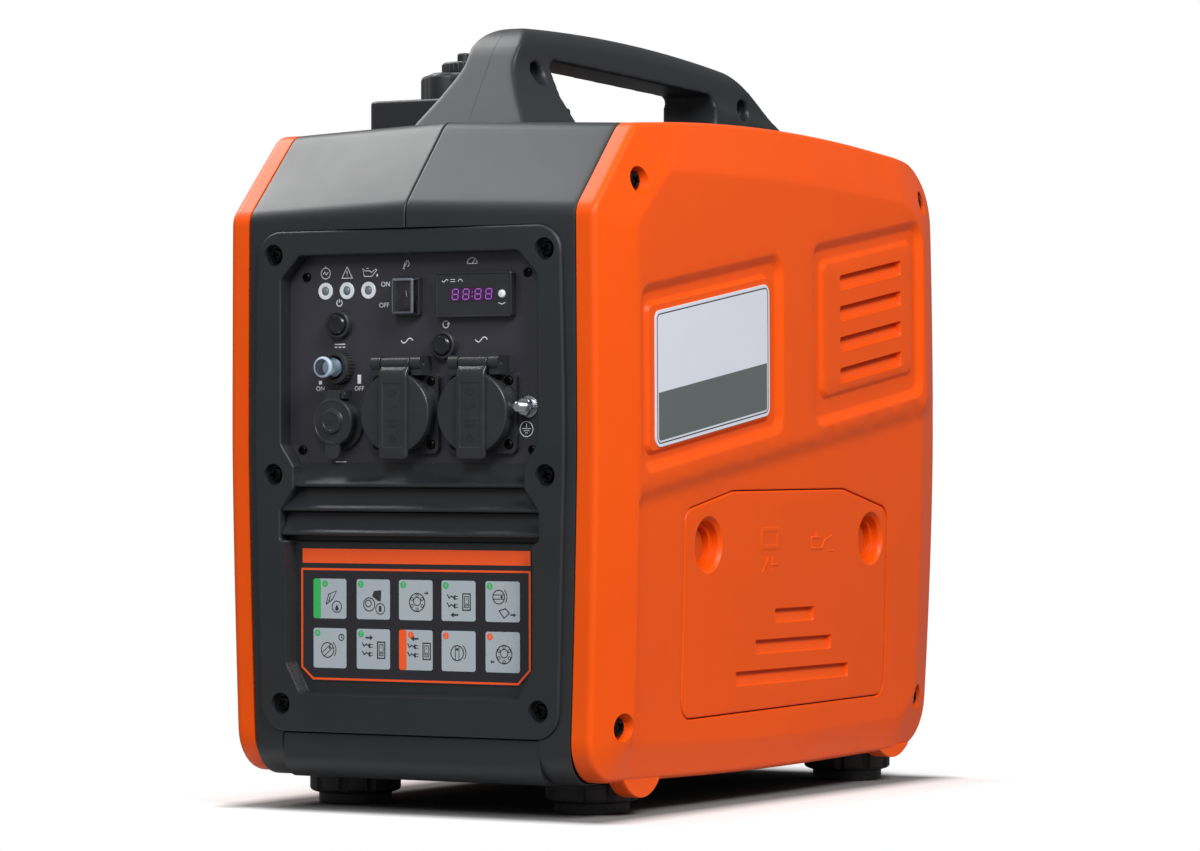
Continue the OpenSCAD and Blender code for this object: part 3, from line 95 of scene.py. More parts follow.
def corner_arc(p, q, s):
    """Centre, start, sweep and radius of the arc that rounds the corner q."""
    c0 = np.array(q[:2])
    u, w = np.array(p[:2]) - c0, np.array(s[:2]) - c0
    u, w = u / np.linalg.norm(u), w / np.linalg.norm(w)
    half = math.acos(max(-1, min(1, float(u @ w)))) / 2
    t = q[2] / math.tan(half)
    c = c0 + (u + w) / np.linalg.norm(u + w) * q[2] / math.sin(half)
    a, b = c0 + u * t - c, c0 + w * t - c
    return c, math.atan2(a[1], a[0]), math.atan2(a[0] * b[1] - a[1] * b[0], a @ b), q[2]


def arcs(corners):
    return [corner_arc(corners[i - 1], c, corners[(i + 1) % len(corners)]) for i, c in enumerate(corners)]


def arc_point(arc, share):
    a = arc[1] + arc[2] * share
    return arc[0] + arc[3] * np.array([math.cos(a), math.sin(a)])


class Outline:
    """A closed outline with rounded corners that gives as many points whatever it is shrunk by."""

    def __init__(self, corners, step=4.0, bend=9.0):
        self.corners = corners
        base = arcs(corners)
        self.turns = [max(2, math.ceil(abs(math.degrees(a[2])) / bend), math.ceil(abs(a[2]) * a[3] / step))
                      for a in base]
        self.legs = [max(1, math.ceil(np.linalg.norm(arc_point(base[(i + 1) % len(base)], 0)
                                                     - arc_point(base[i], 1)) / step))
                     for i in range(len(base))]

    def __call__(self, d=0.0, corners=None):
        now, pts = arcs(moved(corners or self.corners, d)), []
        for i, arc in enumerate(now):
            pts += [arc_point(arc, k / self.turns[i]) for k in range(self.turns[i] + 1)]
            a, b = arc_point(arc, 1), arc_point(now[(i + 1) % len(now)], 0)
            pts += [a + (b - a) * k / self.legs[i] for k in range(1, self.legs[i])]
        return np.array(pts)


def circle(a, b, r, count=40):
    turn = np.arange(count) * 2 * math.pi / count
    return lambda d=0.0: np.stack([a + (r - d) * np.cos(turn), b + (r - d) * np.sin(turn)], 1)


def box_corners(a0, b0, a1, b1, r):
    return [(a0, b0, r), (a1, b0, r), (a1, b1, r), (a0, b1, r)]


def slanted(y, z, long, high, r):
    rise = long * SLANT
    return [(y, z, r), (y + long, z + rise, r), (y + long, z + rise + high, r), (y, z + high, r)]


def rounded_box(a0, b0, a1, b1, r, step=40.0):
    return Outline(box_corners(a0, b0, a1, b1, r), step)


def inside(points, loop):
    """Distance of each point inside a closed outline, negative outside it."""
    out = np.empty(len(points))
    a, b = loop, np.roll(loop, -1, 0)
    ab = b - a
    size = (ab ** 2).sum(1) + 1e-12
    for k in range(0, len(points), 4000):
        p = points[k:k + 4000, None, :]
        ap = p - a
        t = np.clip((ap * ab).sum(2) / size, 0, 1)
        gap = np.sqrt(((ap - t[..., None] * ab) ** 2).sum(2)).min(1)
        cross = ((a[:, 1] > p[..., 1]) != (b[:, 1] > p[..., 1])) & (
            p[..., 0] < (b[:, 0] - a[:, 0]) * (p[..., 1] - a[:, 1]) / (b[:, 1] - a[:, 1] + 1e-12) + a[:, 0])
        out[k:k + 4000] = np.where(cross.sum(1) % 2 == 1, gap, -gap)
    return out


def ease(t, soft=0.3):
    """A straight ramp from 0 to 1 with its two ends rounded."""
    t = np.clip(t, 0, 1)
    low = t * t / (2 * soft * (1 - soft))
    high = 1 - (1 - t) ** 2 / (2 * soft * (1 - soft))
    return np.where(t < soft, low, np.where(t > 1 - soft, high, (t - soft / 2) / (1 - soft)))


def soft_least(a, b, k=0.8):
    """The smaller of two heights, blended where they are within k of each other."""
    h = np.clip(0.5 + 0.5 * (b - a) / k, 0, 1)
    return b + (a - b) * h - k * h * (1 - h)


# ---------------------------------------------------------------- meshes
# Each face of the case as a mapping from its own (u, v, height) to x, y and z
def right_side(u, v, h):
    return h, u, v


def left_side(u, v, h):
    return -h, u, v


def front_side(u, v, h):
    return u, -h, v


def rear_side(u, v, h):
    return u, h, v


def upper_side(u, v, h):
    return u, v, h


def relief(shape, step, height, holes=(), rings=(), rim=((0, 0),), hole_rim=((0, 0),)):
    """A sheet over an outline, with points along every ring so that each step has a clean edge.
    The rim lists (distance inside the edge, drop) from the sheet's border out to the edge."""
    loops = [shape(rim[0][0])] + [h(-hole_rim[0][0]) for h in holes]
    points, edges = [], []
    for loop in loops:
        n, m = len(points), len(loop)
        points += list(loop)
        edges += [(n + k, n + (k + 1) % m) for k in range(m)]
    for ring in rings:
        free = inside(ring, loops[0]) > 0.9
        for hole in loops[1:]:
            free &= inside(ring, hole) < -0.7
        n, m = len(points), len(ring)
        index = np.cumsum(free) - 1
        points += list(ring[free])
        edges += [(n + index[k], n + index[(k + 1) % m]) for k in range(m) if free[k] and free[(k + 1) % m]]
    taken = set()
    cell = step * 0.6
    for loop in loops + list(rings):
        nxt = np.roll(loop, -1, 0)
        for a, b in zip(loop, nxt):
            for t in np.linspace(0, 1, max(2, int(np.linalg.norm(b - a) / cell) + 2)):
                q = a + (b - a) * t
                taken.add((int(q[0] // cell), int(q[1] // cell)))
    low, high = loops[0].min(0), loops[0].max(0)
    rows = np.arange(low[1], high[1], step * 0.87)
    grid = np.array([(x + (step / 2 if j % 2 else 0), y) for j, y in enumerate(rows)
                     for x in np.arange(low[0], high[0], step)])
    keep = [not any((int(g[0] // cell) + i, int(g[1] // cell) + j) in taken
                    for i in (-1, 0, 1) for j in (-1, 0, 1)) for g in grid]
    grid = grid[np.array(keep)]
    grid = grid[inside(grid, loops[0]) > 0]
    points = np.array(points + list(grid))
    found = geometry.delaunay_2d_cdt([Vector(p) for p in points], edges, [], 0, 1e-4)
    flat = np.array([tuple(p) for p in found[0]])
    faces = np.array([f for f in found[2] if len(f) == 3])
    mid = flat[faces].mean(1)
    good = inside(mid, loops[0]) > 0
    for hole in loops[1:]:
        good &= inside(mid, hole) < 0
    faces = faces[good]
    verts = np.column_stack([flat, height(flat)])
    polys = [tuple(f) for f in faces]
    for k, (edge, profile) in enumerate([(shape, rim)] + [(h, hole_rim) for h in holes]):
        if len(profile) < 2:
            continue
        sign = -1 if k else 1
        top = edge(sign * profile[0][0])
        level = height(top)
        n, m = len(verts), len(top)
        for d, drop in profile:
            verts = np.vstack([verts, np.column_stack([edge(sign * d), level - drop])])
        for row in range(len(profile) - 1):
            for i in range(m):
                a, b = n + row * m + i, n + row * m + (i + 1) % m
                polys.append((b, a, a + m, b + m) if not k else (a, b, b + m, a + m))
    return verts, polys


def quarter(edge):
    """(inset, drop) of a rounded edge, from its top to its side."""
    turn = np.linspace(0, math.pi / 2, 4)
    return [(edge * (1 - math.sin(a)), edge * (1 - math.cos(a))) for a in turn]


def slab(shape, h0, h1, edge=0.6, back=0.0):
    """A plate from h0 up to h1 whose upper edge is rounded, and its lower one by back."""
    rings = [(d, h0 + e) for d, e in quarter(back)] if back else [(0, h0)]
    rings += [(d, h1 - e) for d, e in reversed(quarter(edge))] if edge else [(0, h1)]
    return lofted([np.column_stack([shape(d), np.full(len(shape(0)), h)]) for d, h in rings])


def lofted(loops, closed=False):
    m = len(loops[0])
    verts = np.vstack(loops)
    polys = []
    for row in range(len(loops) - (0 if closed else 1)):
        a, b = row * m, ((row + 1) % len(loops)) * m
        polys += [(a + i, a + (i + 1) % m, b + (i + 1) % m, b + i) for i in range(m)]
    if not closed:
        polys.append(tuple(range(m - 1, -1, -1)))
        polys.append(tuple((len(loops) - 1) * m + i for i in range(m)))
    return verts, polys


def turned(profile, a=0.0, b=0.0, count=48):
    """A body of revolution about h through (a, b), from (radius, h) pairs."""
    loops = [np.column_stack([circle(a, b, max(r, 0.02), count)(), np.full(count, h)]) for r, h in profile]
    return lofted(loops)


def pin(r, h0, h1, edge=0.8, a=0.0, b=0.0, count=40):
    """A plain round pin with both ends rounded over."""
    return turned([(r - d, h0 + e) for d, e in quarter(edge)]
                  + [(r - d, h1 - e) for d, e in reversed(quarter(edge))], a, b, count)


def place(part, side):
    """Turns (u, v, height) into x, y and z."""
    verts, polys = part
    return np.column_stack(side(verts[:, 0], verts[:, 1], verts[:, 2])), polys


def add(bm, part, side=None):
    """Adds a part's verts and faces to a mesh."""
    verts, polys = place(part, side) if side else part
    new = [bm.verts.new(Vector(v)) for v in verts]
    for f in polys:
        if len(set(f)) > 2:
            bm.faces.new([new[i] for i in f])


def finished(obj):
    """The object with its modifiers made part of a plain mesh."""
    bpy.context.view_layer.update()
    graph = bpy.context.evaluated_depsgraph_get()
    mesh = bpy.data.meshes.new_from_object(obj.evaluated_get(graph))
    old = obj.data
    obj.modifiers.clear()
    obj.data = mesh
    bpy.data.meshes.remove(old)
    return obj


def modifier(obj, kind, **settings):
    m = obj.modifiers.new(kind.title(), kind)
    for key, value in settings.items():
        setattr(m, key, value)
    return m


def part_object(name, bm):
    """A new object of a mesh that is still in the making."""
    mesh = bpy.data.meshes.new(name)
    bm.to_mesh(mesh)
    bm.free()
    obj = bpy.data.objects.new(name, mesh)
    bpy.context.scene.collection.objects.link(obj)
    return obj


def evened(obj):
    """Lets the large faces set the shading, so that flat ones look flat up to their rounded edges."""
    modifier(obj, "WEIGHTED_NORMAL", mode="FACE_AREA", weight=60, keep_sharp=True)
    return finished(obj)


def case_side(half, z):
    """How far the case's side draws in at a height: it is widest at the middle."""
    low = 3.7 * np.clip((230 - z) / 160, 0, 1.3) ** 1.4
    high = 0.9 * np.clip((z - 230) / 180, 0, 1.3) ** 1.5
    near = np.clip((np.abs(half) - 104) / 14, 0, 1)
    return (low + high) * near * near * (3 - 2 * near)


def hand_in(obj, body, nodes, slot, finish, smooth=32, drawn_in=False, recalc=True):
    """Places a finished part in the row's frame, ties it to its body and hides the solids it stands for."""
    mesh = obj.data
    if recalc:
        bm = bmesh.new()
        bm.from_mesh(mesh)
        bmesh.ops.recalc_face_normals(bm, faces=bm.faces)
        bm.to_mesh(mesh)
        bm.free()
    if drawn_in:
        co = np.empty(len(mesh.vertices) * 3)
        mesh.vertices.foreach_get("co", co)
        co = co.reshape(-1, 3)
        co[:, 0] -= np.sign(co[:, 0]) * case_side(co[:, 0], co[:, 2])
        mesh.vertices.foreach_set("co", co.ravel())
    mesh.transform(TO_ROW)
    mesh.shade_smooth()
    mesh.set_sharp_from_angle(angle=math.radians(smooth))
    evened(obj)
    obj.data.materials.clear()
    obj.data.materials.append(finish)
    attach(obj, body)
    if nodes:
        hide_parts(*nodes)
    return obj


def mirrored(obj, name):
    """A copy of a part on the other side of the case, still in millimetres."""
    mesh = obj.data.copy()
    mesh.transform(Matrix.Scale(-1, 4, (1, 0, 0)))
    mesh.flip_normals()
    twin = bpy.data.objects.new(name, mesh)
    bpy.context.scene.collection.objects.link(twin)
    return twin


def cut(obj, tool):
    """Takes one closed mesh out of another."""
    modifier(obj, "BOOLEAN", operation="DIFFERENCE", object=tool, solver="EXACT")
    finished(obj)
    bpy.data.objects.remove(tool)
    return obj


# ---------------------------------------------------------------- finishes
def linear(code):
    """A linear colour from an sRGB hex value."""
    parts = [int(code[i:i + 2], 16) / 255 for i in (0, 2, 4)]
    return tuple(c / 12.92 if c <= 0.04045 else ((c + 0.055) / 1.055) ** 2.4 for c in parts) + (1.0,)


def shader(tree, kind, inputs=None, links=None, **settings):
    """Adds a node with its settings, input values and links."""
    n = tree.nodes.new(kind)
    for key, value in settings.items():
        setattr(n, key, value)
    for key, value in (inputs or {}).items():
        n.inputs[key].default_value = value
    for key, source in (links or {}).items():
        tree.links.new(source, n.inputs[key])
    return n


def blank(name):
    m = bpy.data.materials.new(name)
    m.use_nodes = True
    m.node_tree.nodes.clear()
    return m, m.node_tree


def surface(name, colour, roughness, grain_mm, relief_mm, metallic=0.0, mottle=0.06, mottle_mm=60.0,
            rough_spread=0.06, stretch=None, **sockets):
    """An opaque finish: a grain of a real size, slow colour drift and uneven gloss."""
    m, tree = blank(name)
    place_in = shader(tree, "ShaderNodeTexCoord").outputs["Object"]
    if stretch:
        place_in = shader(tree, "ShaderNodeMapping", {"Scale": stretch}, {"Vector": place_in}).outputs[0]
    fine = shader(tree, "ShaderNodeTexNoise", {"Scale": 1000 / grain_mm, "Detail": 2.0, "Roughness": 0.5},
                  {"Vector": place_in})
    slow = shader(tree, "ShaderNodeTexNoise", {"Scale": 1000 / mottle_mm, "Detail": 3.0, "Roughness": 0.6},
                  {"Vector": place_in})
    drift = shader(tree, "ShaderNodeMapRange", {"From Min": 0.3, "From Max": 0.7, "To Min": 1 - mottle,
                                               "To Max": 1 + mottle}, {"Value": slow.outputs["Fac"]})
    tint = shader(tree, "ShaderNodeVectorMath", {0: colour[:3]}, {"Scale": drift.outputs[0]},
                  operation="SCALE")
    gloss = shader(tree, "ShaderNodeMapRange", {"From Min": 0.3, "From Max": 0.7,
                                               "To Min": roughness - rough_spread,
                                               "To Max": roughness + rough_spread},
                   {"Value": slow.outputs["Fac"]})
    bump = shader(tree, "ShaderNodeBump", {"Strength": 1.0, "Distance": relief_mm / 1000},
                  {"Height": fine.outputs["Fac"]})
    body = shader(tree, "ShaderNodeBsdfPrincipled", {"Metallic": metallic, **sockets},
                  {"Base Color": tint.outputs[0], "Roughness": gloss.outputs[0], "Normal": bump.outputs[0]})
    shader(tree, "ShaderNodeOutputMaterial", links={"Surface": body.outputs[0]})
    return m


def clear_finish(name, colour, roughness=0.06):
    """Clear moulded plastic: sees through, with faint flow marks in its gloss."""
    m, tree = blank(name)
    spot = shader(tree, "ShaderNodeTexCoord").outputs["Object"]
    flow = shader(tree, "ShaderNodeTexNoise", {"Scale": 300.0, "Detail": 2.0}, {"Vector": spot})
    bump = shader(tree, "ShaderNodeBump", {"Strength": 0.3, "Distance": 0.0001},
                  {"Height": flow.outputs["Fac"]})
    body = shader(tree, "ShaderNodeBsdfPrincipled",
                  {"Base Color": colour, "Roughness": roughness, "IOR": 1.49, "Transmission Weight": 1.0},
                  {"Normal": bump.outputs[0]})
    shader(tree, "ShaderNodeOutputMaterial", links={"Surface": body.outputs[0]})
    return m


def glowing(name, colour, strength):
    m, tree = blank(name)
    spot = shader(tree, "ShaderNodeTexCoord").outputs["Object"]
    flow = shader(tree, "ShaderNodeTexNoise", {"Scale": 900.0}, {"Vector": spot})
    drift = shader(tree, "ShaderNodeMapRange", {"To Min": 0.8, "To Max": 1.1},
                   {"Value": flow.outputs["Fac"]})
    tint = shader(tree, "ShaderNodeVectorMath", {0: colour[:3]}, {"Scale": drift.outputs[0]},
                  operation="SCALE")
    body = shader(tree, "ShaderNodeBsdfPrincipled",
                  {"Roughness": 0.4, "Emission Color": colour, "Emission Strength": strength},
                  {"Base Color": tint.outputs[0]})
    shader(tree, "ShaderNodeOutputMaterial", links={"Surface": body.outputs[0]})
    return m


FINISH = {}


class GENERATOR_PG_colours(bpy.types.PropertyGroup):
    """Colours of the case."""

    cover: bpy.props.FloatVectorProperty(
        name="Side covers", description="Colour of the moulded side covers", subtype="COLOR", size=4,
        min=0, max=1, default=linear("E85102"))
    shell: bpy.props.FloatVectorProperty(
        name="Shells", description="Colour of the shells, the bezel and the handle", subtype="COLOR", size=4,
        min=0, max=1, default=linear("202225"))
    panel: bpy.props.FloatVectorProperty(
        name="Control panel", description="Colour of the panel behind the controls", subtype="COLOR", size=4,
        min=0, max=1, default=linear("33323A"))
    trim: bpy.props.FloatVectorProperty(
        name="Trim", description="Colour of the sockets, buttons and caps", subtype="COLOR", size=4,
        min=0, max=1, default=linear("292A2C"))
    plate: bpy.props.FloatVectorProperty(
        name="Side plate", description="Colour of the pale part of the side plate", subtype="COLOR", size=4,
        min=0, max=1, default=linear("D3D6E0"))


class GENERATOR_PG_sizes(bpy.types.PropertyGroup):
    """Sizes that a user would change."""

    pocket: bpy.props.FloatProperty(
        name="Pocket depth", description="Depth of the pockets in the side covers, in mm", default=4.0,
        min=2.0, max=4.5)
    band: bpy.props.FloatProperty(
        name="Band fall", description="How far the band round a side cover slopes, in mm", default=8.0,
        min=6.0, max=10.0)
    step: bpy.props.FloatProperty(
        name="Mesh step", description="Distance between the points of the large mouldings, in mm",
        default=5.0, min=2.0, max=12.0)
    knurls: bpy.props.IntProperty(
        name="Knurls", description="Number of ribs round the breaker's ring", default=30, min=12, max=48)
    flutes: bpy.props.IntProperty(
        name="Foot flutes", description="Number of flutes round a foot", default=10, min=8, max=24)


def sizes():
    return bpy.context.scene.generator_sizes


# Opaque finishes: real name, colour (None takes the one in the panel), roughness, grain and relief in mm
OPAQUE = {
    # ABS from a fine spark-eroded mould: even colour, soft broad sheen
    "cover": ("moulded_orange_abs", None, 0.42, 0.9, 0.03,
              {"mottle": 0.03, "mottle_mm": 90, "rough_spread": 0.04, "Specular IOR Level": 0.25}),
    # Glass-filled polypropylene: a leather-like grain that greys the highlights
    "shell": ("grained_black_polypropylene", None, 0.46, 0.8, 0.05, {"mottle_mm": 40, "rough_spread": 0.02}),
    # ABS from a satin mould: dark, with a narrower sheen than the shells
    "panel": ("satin_black_panel_abs", None, 0.36, 0.5, 0.015, {"mottle": 0.05}),
    # Nylon from a polished mould: small clear highlights on its edges
    "trim": ("smooth_black_nylon", None, 0.33, 0.6, 0.02, {"mottle": 0.08, "mottle_mm": 15}),
    # The same nylon, buffed: domes that mirror the lamps
    "gloss_trim": ("polished_black_nylon", "1B1C20", 0.18, 0.6, 0.004, {"mottle": 0.05, "mottle_mm": 10}),
    # Polypropylene from a smooth mould: long streaks of light on the blades' ledges
    "louvre": ("smooth_black_polypropylene", "232427", 0.32, 0.8, 0.01, {"mottle": 0.05}),
    # The covers' ABS painted a shade darker: painted shade, as the latches sit deep in their cups
    "latch": ("moulded_deep_orange_abs", "C9480F", 0.42, 0.7, 0.02, {"mottle": 0.04}),
    # Moulded nylon: nearly black, red only in the light
    "rocker": ("moulded_dark_red_nylon", "2A1517", 0.22, 0.6, 0.006, {"mottle": 0.05}),
    # Moulded acetal: pale, with a waxy shine
    "plunger": ("moulded_blue_grey_acetal", "B9C9D8", 0.3, 0.6, 0.006, {"mottle": 0.05}),
    # Rim of the clear cap: a pale opaque ring, painted highlight where light gathers in the clear edge
    "frost": ("frosted_polycarbonate", "A9BCCB", 0.35, 0.6, 0.006, {"mottle": 0.08, "mottle_mm": 6}),
    # Edge of the clear boot: a grey line round the switch, painted highlight
    "boot_edge": ("bright_polycarbonate_edge", "5C6168", 0.25, 0.6, 0.006, {"mottle": 0.1, "mottle_mm": 4}),
    # Unlit lamp: grey and glassy
    "lens_grey": ("moulded_grey_acrylic", "6E7880", 0.14, 0.8, 0.004, {"mottle": 0.04}),
    # Anodised heat sink: dark metal with a satin gleam
    "cast_dark": ("black_anodised_aluminium", "2C2D30", 0.4, 0.5, 0.01, {"metallic": 0.7}),
    # Moulded rubber: dull, with a dusty bloom
    "rubber": ("moulded_black_rubber", "1E1E1F", 0.62, 0.5, 0.05, {"mottle": 0.2, "mottle_mm": 12}),
    # Black oxide on steel: oily dark gloss that varies from head to head
    "black_steel": ("black_oxide_steel", "1A1A1C", 0.34, 0.25, 0.01,
                    {"metallic": 0.9, "mottle": 0.15, "mottle_mm": 3}),
    # Bright zinc: cool and shiny, slightly clouded
    "zinc": ("zinc_plated_steel", "C9CCD2", 0.28, 0.3, 0.01,
             {"metallic": 1.0, "mottle": 0.08, "mottle_mm": 4}),
    # Spring brass: warm metal in the socket's dark
    "brass": ("plain_brass", "D9B56A", 0.3, 0.3, 0.01, {"metallic": 1.0}),
    # Polyester film printed pale: a flat even ground under one satin coat
    "plate": ("pale_printed_polyester", None, 0.30, 0.6, 0.006, {"mottle": 0.015}),
    # Grey ink on that film: the darker part of the plate
    "plate_dark": ("grey_printed_polyester", "59605F", 0.30, 0.6, 0.006, {"mottle": 0.03}),
    # Dark ink on it: the line round the plate
    "plate_line": ("dark_printed_polyester", "3E4142", 0.32, 0.6, 0.004, {"mottle": 0.03}),
    # Film printed black: glossier and bluish
    "sticker": ("black_printed_polyester", "26262C", 0.26, 0.6, 0.006, {"mottle": 0.03}),
    # Orange ink on that film: warm bands and dots
    "sticker_orange": ("orange_printed_polyester", "F65A22", 0.28, 0.6, 0.006, {"mottle": 0.02}),
    # Pale grey ink on it: grounds for the pictures, and the numbers
    "sticker_tile": ("light_grey_printed_polyester", "A9B3BA", 0.30, 0.6, 0.006, {"mottle": 0.02}),
    # Green ink on it: the first band and the first dots
    "sticker_green": ("green_printed_polyester", "37B35F", 0.30, 0.6, 0.006, {"mottle": 0.02}),
    # Screen ink: matt, a little raised
    "ink": ("dark_screen_ink", "303338", 0.36, 0.4, 0.004, {"mottle": 0.05}),
    # Thick white ink: chalky marks on the black plastic
    "white_ink": ("white_screen_ink", "E2E4EA", 0.4, 0.4, 0.004, {"mottle": 0.04}),
    # White acetal: soft and milky
    "lamp": ("white_acetal", "DDE0E6", 0.34, 0.5, 0.006, {"mottle": 0.02}),
    # Tinted acrylic: a dark glossy pane
    "window": ("tinted_acrylic", "3A1F40", 0.12, 1.0, 0.002, {"mottle": 0.03}),
    # Sand-cast aluminium: rough, pale and sparkling
    "cast": ("cast_aluminium", "A9ACB0", 0.5, 0.8, 0.12, {"metallic": 1.0, "mottle": 0.1, "mottle_mm": 8}),
    # Turned steel: fine rings round the shaft
    "steel": ("turned_steel", "9C9FA4", 0.32, 0.4, 0.01, {"metallic": 1.0, "stretch": (1, 12, 12)}),
    # Varnished winding: copper in long strands
    "copper": ("varnished_copper_wire", "B06A3A", 0.35, 0.9, 0.2, {"metallic": 0.8, "stretch": (0.2, 1, 1)}),
    # Sheet steel that has been hot: dull and brownish in patches
    "muffler": ("heat_dulled_steel", "8A8178", 0.55, 0.6, 0.03,
                {"metallic": 0.9, "mottle": 0.25, "mottle_mm": 25}),
}


def make_finishes():
    chosen = bpy.context.scene.generator_colours
    for key, (name, code, roughness, grain_mm, relief_mm, more) in OPAQUE.items():
        colour = linear(code) if code else getattr(chosen, key)
        FINISH[key] = surface(name, colour, roughness, grain_mm, relief_mm, **more)
    # Clear moulded cap: sharp reflections over what lies behind it
    FINISH["clear"] = clear_finish("clear_polycarbonate", linear("E8EEF4"), 0.05)
    # Lit display segment: a steady violet glow
    FINISH["digit"] = glowing("lit_segments", linear("8E4FA6"), 0.45)


# ---------------------------------------------------------------- side covers
COVER = [(3, 22.5, 27), (221, 18.5, 5000), (463, 22.5, 34), (473, 225, 3500), (466, 416, 45),
         (225.6, 435, 2000), (54, 424.5, 16), (3, 371, 14)]
COVER_FACE = [(42.5, 46.5, 16), (212, 40.5, 2500), (424, 45, 30), (430, 225, 3000), (424, 387.5, 36),
              (223, 396, 2500), (82, 395, 10), (42.5, 363, 10)]
LABEL_POCKET = slanted(43.5, 207.5, 183, 118, 13)
LABEL_PAD = slanted(52, 219.5, 160, 95, 8)
VENT_POCKET = slanted(265, 236, 160, 122, 13)
VENT_PAD = slanted(279, 255, 135, 92.5, 9)
LOWER_FIELD = [(41, -90, 1), (560, -90, 1), (560, 199.9 + (560 - 40.7) * FIELD_SLANT, 1), (41, 199.9, 15)]
SERVICE = [(105, 57, 12), (378.5, 60.5, 10), (378.5, 184.5, 10), (316, 198, 30), (166, 198, 30),
           (105, 186.5, 10)]
COVER_SCREWS = [(48.5, 388.5), (32, 56), (438, 391), (435, 56)]
WELL, WELL_R = 5.4, 8.8
SLOT_Y, SLOT_Z = 305.5, [328.3 - 20.3 * i for i in range(4)]
RAMP = (0.0, 0.15, 0.3, 0.5, 0.7, 0.85, 1.0)


def ring_set(shape, width):
    return [shape(width * t) for t in RAMP]


def vent_slot(z, step):
    return Outline(slanted(SLOT_Y, z, 88, 10, 2), step)


def dished(points):
    """Height of the cover's outer face, before its pads."""
    pocket = sizes().pocket
    # The band falls further along the rear
    band = sizes().band + 7.0 * ease((points[:, 0] - 395) / 55, 0.4)
    edge = inside(points, Outline(COVER)())
    face = inside(points, Outline(COVER_FACE)())
    run = np.where(face > 0, 1.0, edge / (edge - face + 1e-9))
    # The lower field's upper edge is a long ramp, its front edge a short one
    behind = points[:, 0] - LOWER_FIELD[3][0]
    under = (LOWER_FIELD[3][1] + behind * FIELD_SLANT - points[:, 1]) * 0.99
    short = np.clip((under - behind + 8) / 16, 0, 1)
    field = ease(inside(points, Outline(LOWER_FIELD, 8)()) / (9.5 - 5.5 * short), 0.2)
    h = FACE - band + (band - pocket * field) * ease(run, 0.1)
    for corners in (LABEL_POCKET, VENT_POCKET):
        well = inside(points, Outline(corners, 8)())
        h = soft_least(h, np.where(well > 0, FACE - pocket * ease(well / 8, 0.2), FACE + 5), 1.0)
    return h


def vent_relief(points):
    pad = inside(points, Outline(VENT_PAD, 8)())
    h = 2.7 * ease(pad / 4.5, 0.4)
    for z in SLOT_Z:
        slot = inside(points, vent_slot(z, 8)())
        # Each slot's floor slopes out from its deep upper edge
        up = np.clip((points[:, 1] - z - (points[:, 0] - SLOT_Y) * SLANT) / 10, 0, 1)
        h -= (1.6 + 4.6 * up) * ease(slot / 1.1, 0.3)
    return h


def screw_wells(points, places, r, depth, lip=1.0):
    h = np.zeros(len(points))
    for a, b in places:
        d = r - np.hypot(points[:, 0] - a, points[:, 1] - b)
        h -= depth * ease(d / lip, 0.35)
    return h


def cover_rings(step):
    """The rings that both covers share."""
    face = Outline(COVER_FACE, step)
    rings = [face(d) for d in (-26, -18, -10, -4, -1.5, 0, 1.5, 4)]
    for corners, width in ((LABEL_POCKET, 8), (VENT_POCKET, 8)):
        rings += ring_set(Outline(corners, 6), width)
    rings += [Outline(VENT_PAD, 6)(d) for d in (0, 1.2, 2.4, 4.5)]
    for z in SLOT_Z:
        rings += [vent_slot(z, 6)(d) for d in (0, 0.35, 0.75, 1.1, 4)]
    for a, b in COVER_SCREWS:
        rings += [circle(a, b, WELL_R + d)() for d in (2.0, 0, -0.4, -0.8, -1.1)]
    return rings


COVER_RIM = ((3.2, 0), (1.8, 0.5), (0.8, 1.5), (0.2, 3.0), (0, 5.0), (0, 13.8))


def moulding(name, sheet, side, thickness, solids=(), least=-1e3):
    """A sheet turned outwards and given its wall, with any solid parts added to it."""
    bm = bmesh.new()
    sheet[0][:, 2] = np.maximum(sheet[0][:, 2], least)
    add(bm, sheet, side)
    bmesh.ops.remove_doubles(bm, verts=bm.verts, dist=0.01)
    bmesh.ops.dissolve_degenerate(bm, edges=bm.edges, dist=0.002)
    bmesh.ops.recalc_face_normals(bm, faces=bm.faces)
    out = Vector(side(0, 0, 1)) - Vector(side(0, 0, 0))
    if sum(f.normal.dot(out) * f.calc_area() for f in bm.faces) < 0:
        bmesh.ops.reverse_faces(bm, faces=bm.faces)
    obj = part_object(name, bm)
    if thickness:
        modifier(obj, "SOLIDIFY", thickness=thickness, offset=-1, use_even_offset=False)
        finished(obj)
    if solids:
        bm = bmesh.new()
        bm.from_mesh(obj.data)
        for part in solids:
            add(bm, part, side)
        bm.to_mesh(obj.data)
        bm.free()
    return obj


def lug(y, reach, r):
    """Half-round pad under a cover's edge."""
    turn = math.acos((r - reach - 5) / r)
    loop = np.array([(y + r * math.sin(t), 20 - reach + r - r * math.cos(t))
                     for t in np.linspace(-turn, turn, 22)])
    mid = loop.mean(0)
    return slab(lambda d=0.0: mid + (loop - mid) * (1 - d / 22), SHELL + 2, FACE - 8.2, edge=2.0, back=1.5)


LUGS = [(67, 9, 28), (REAR - 65.5, 3.6, 36)]


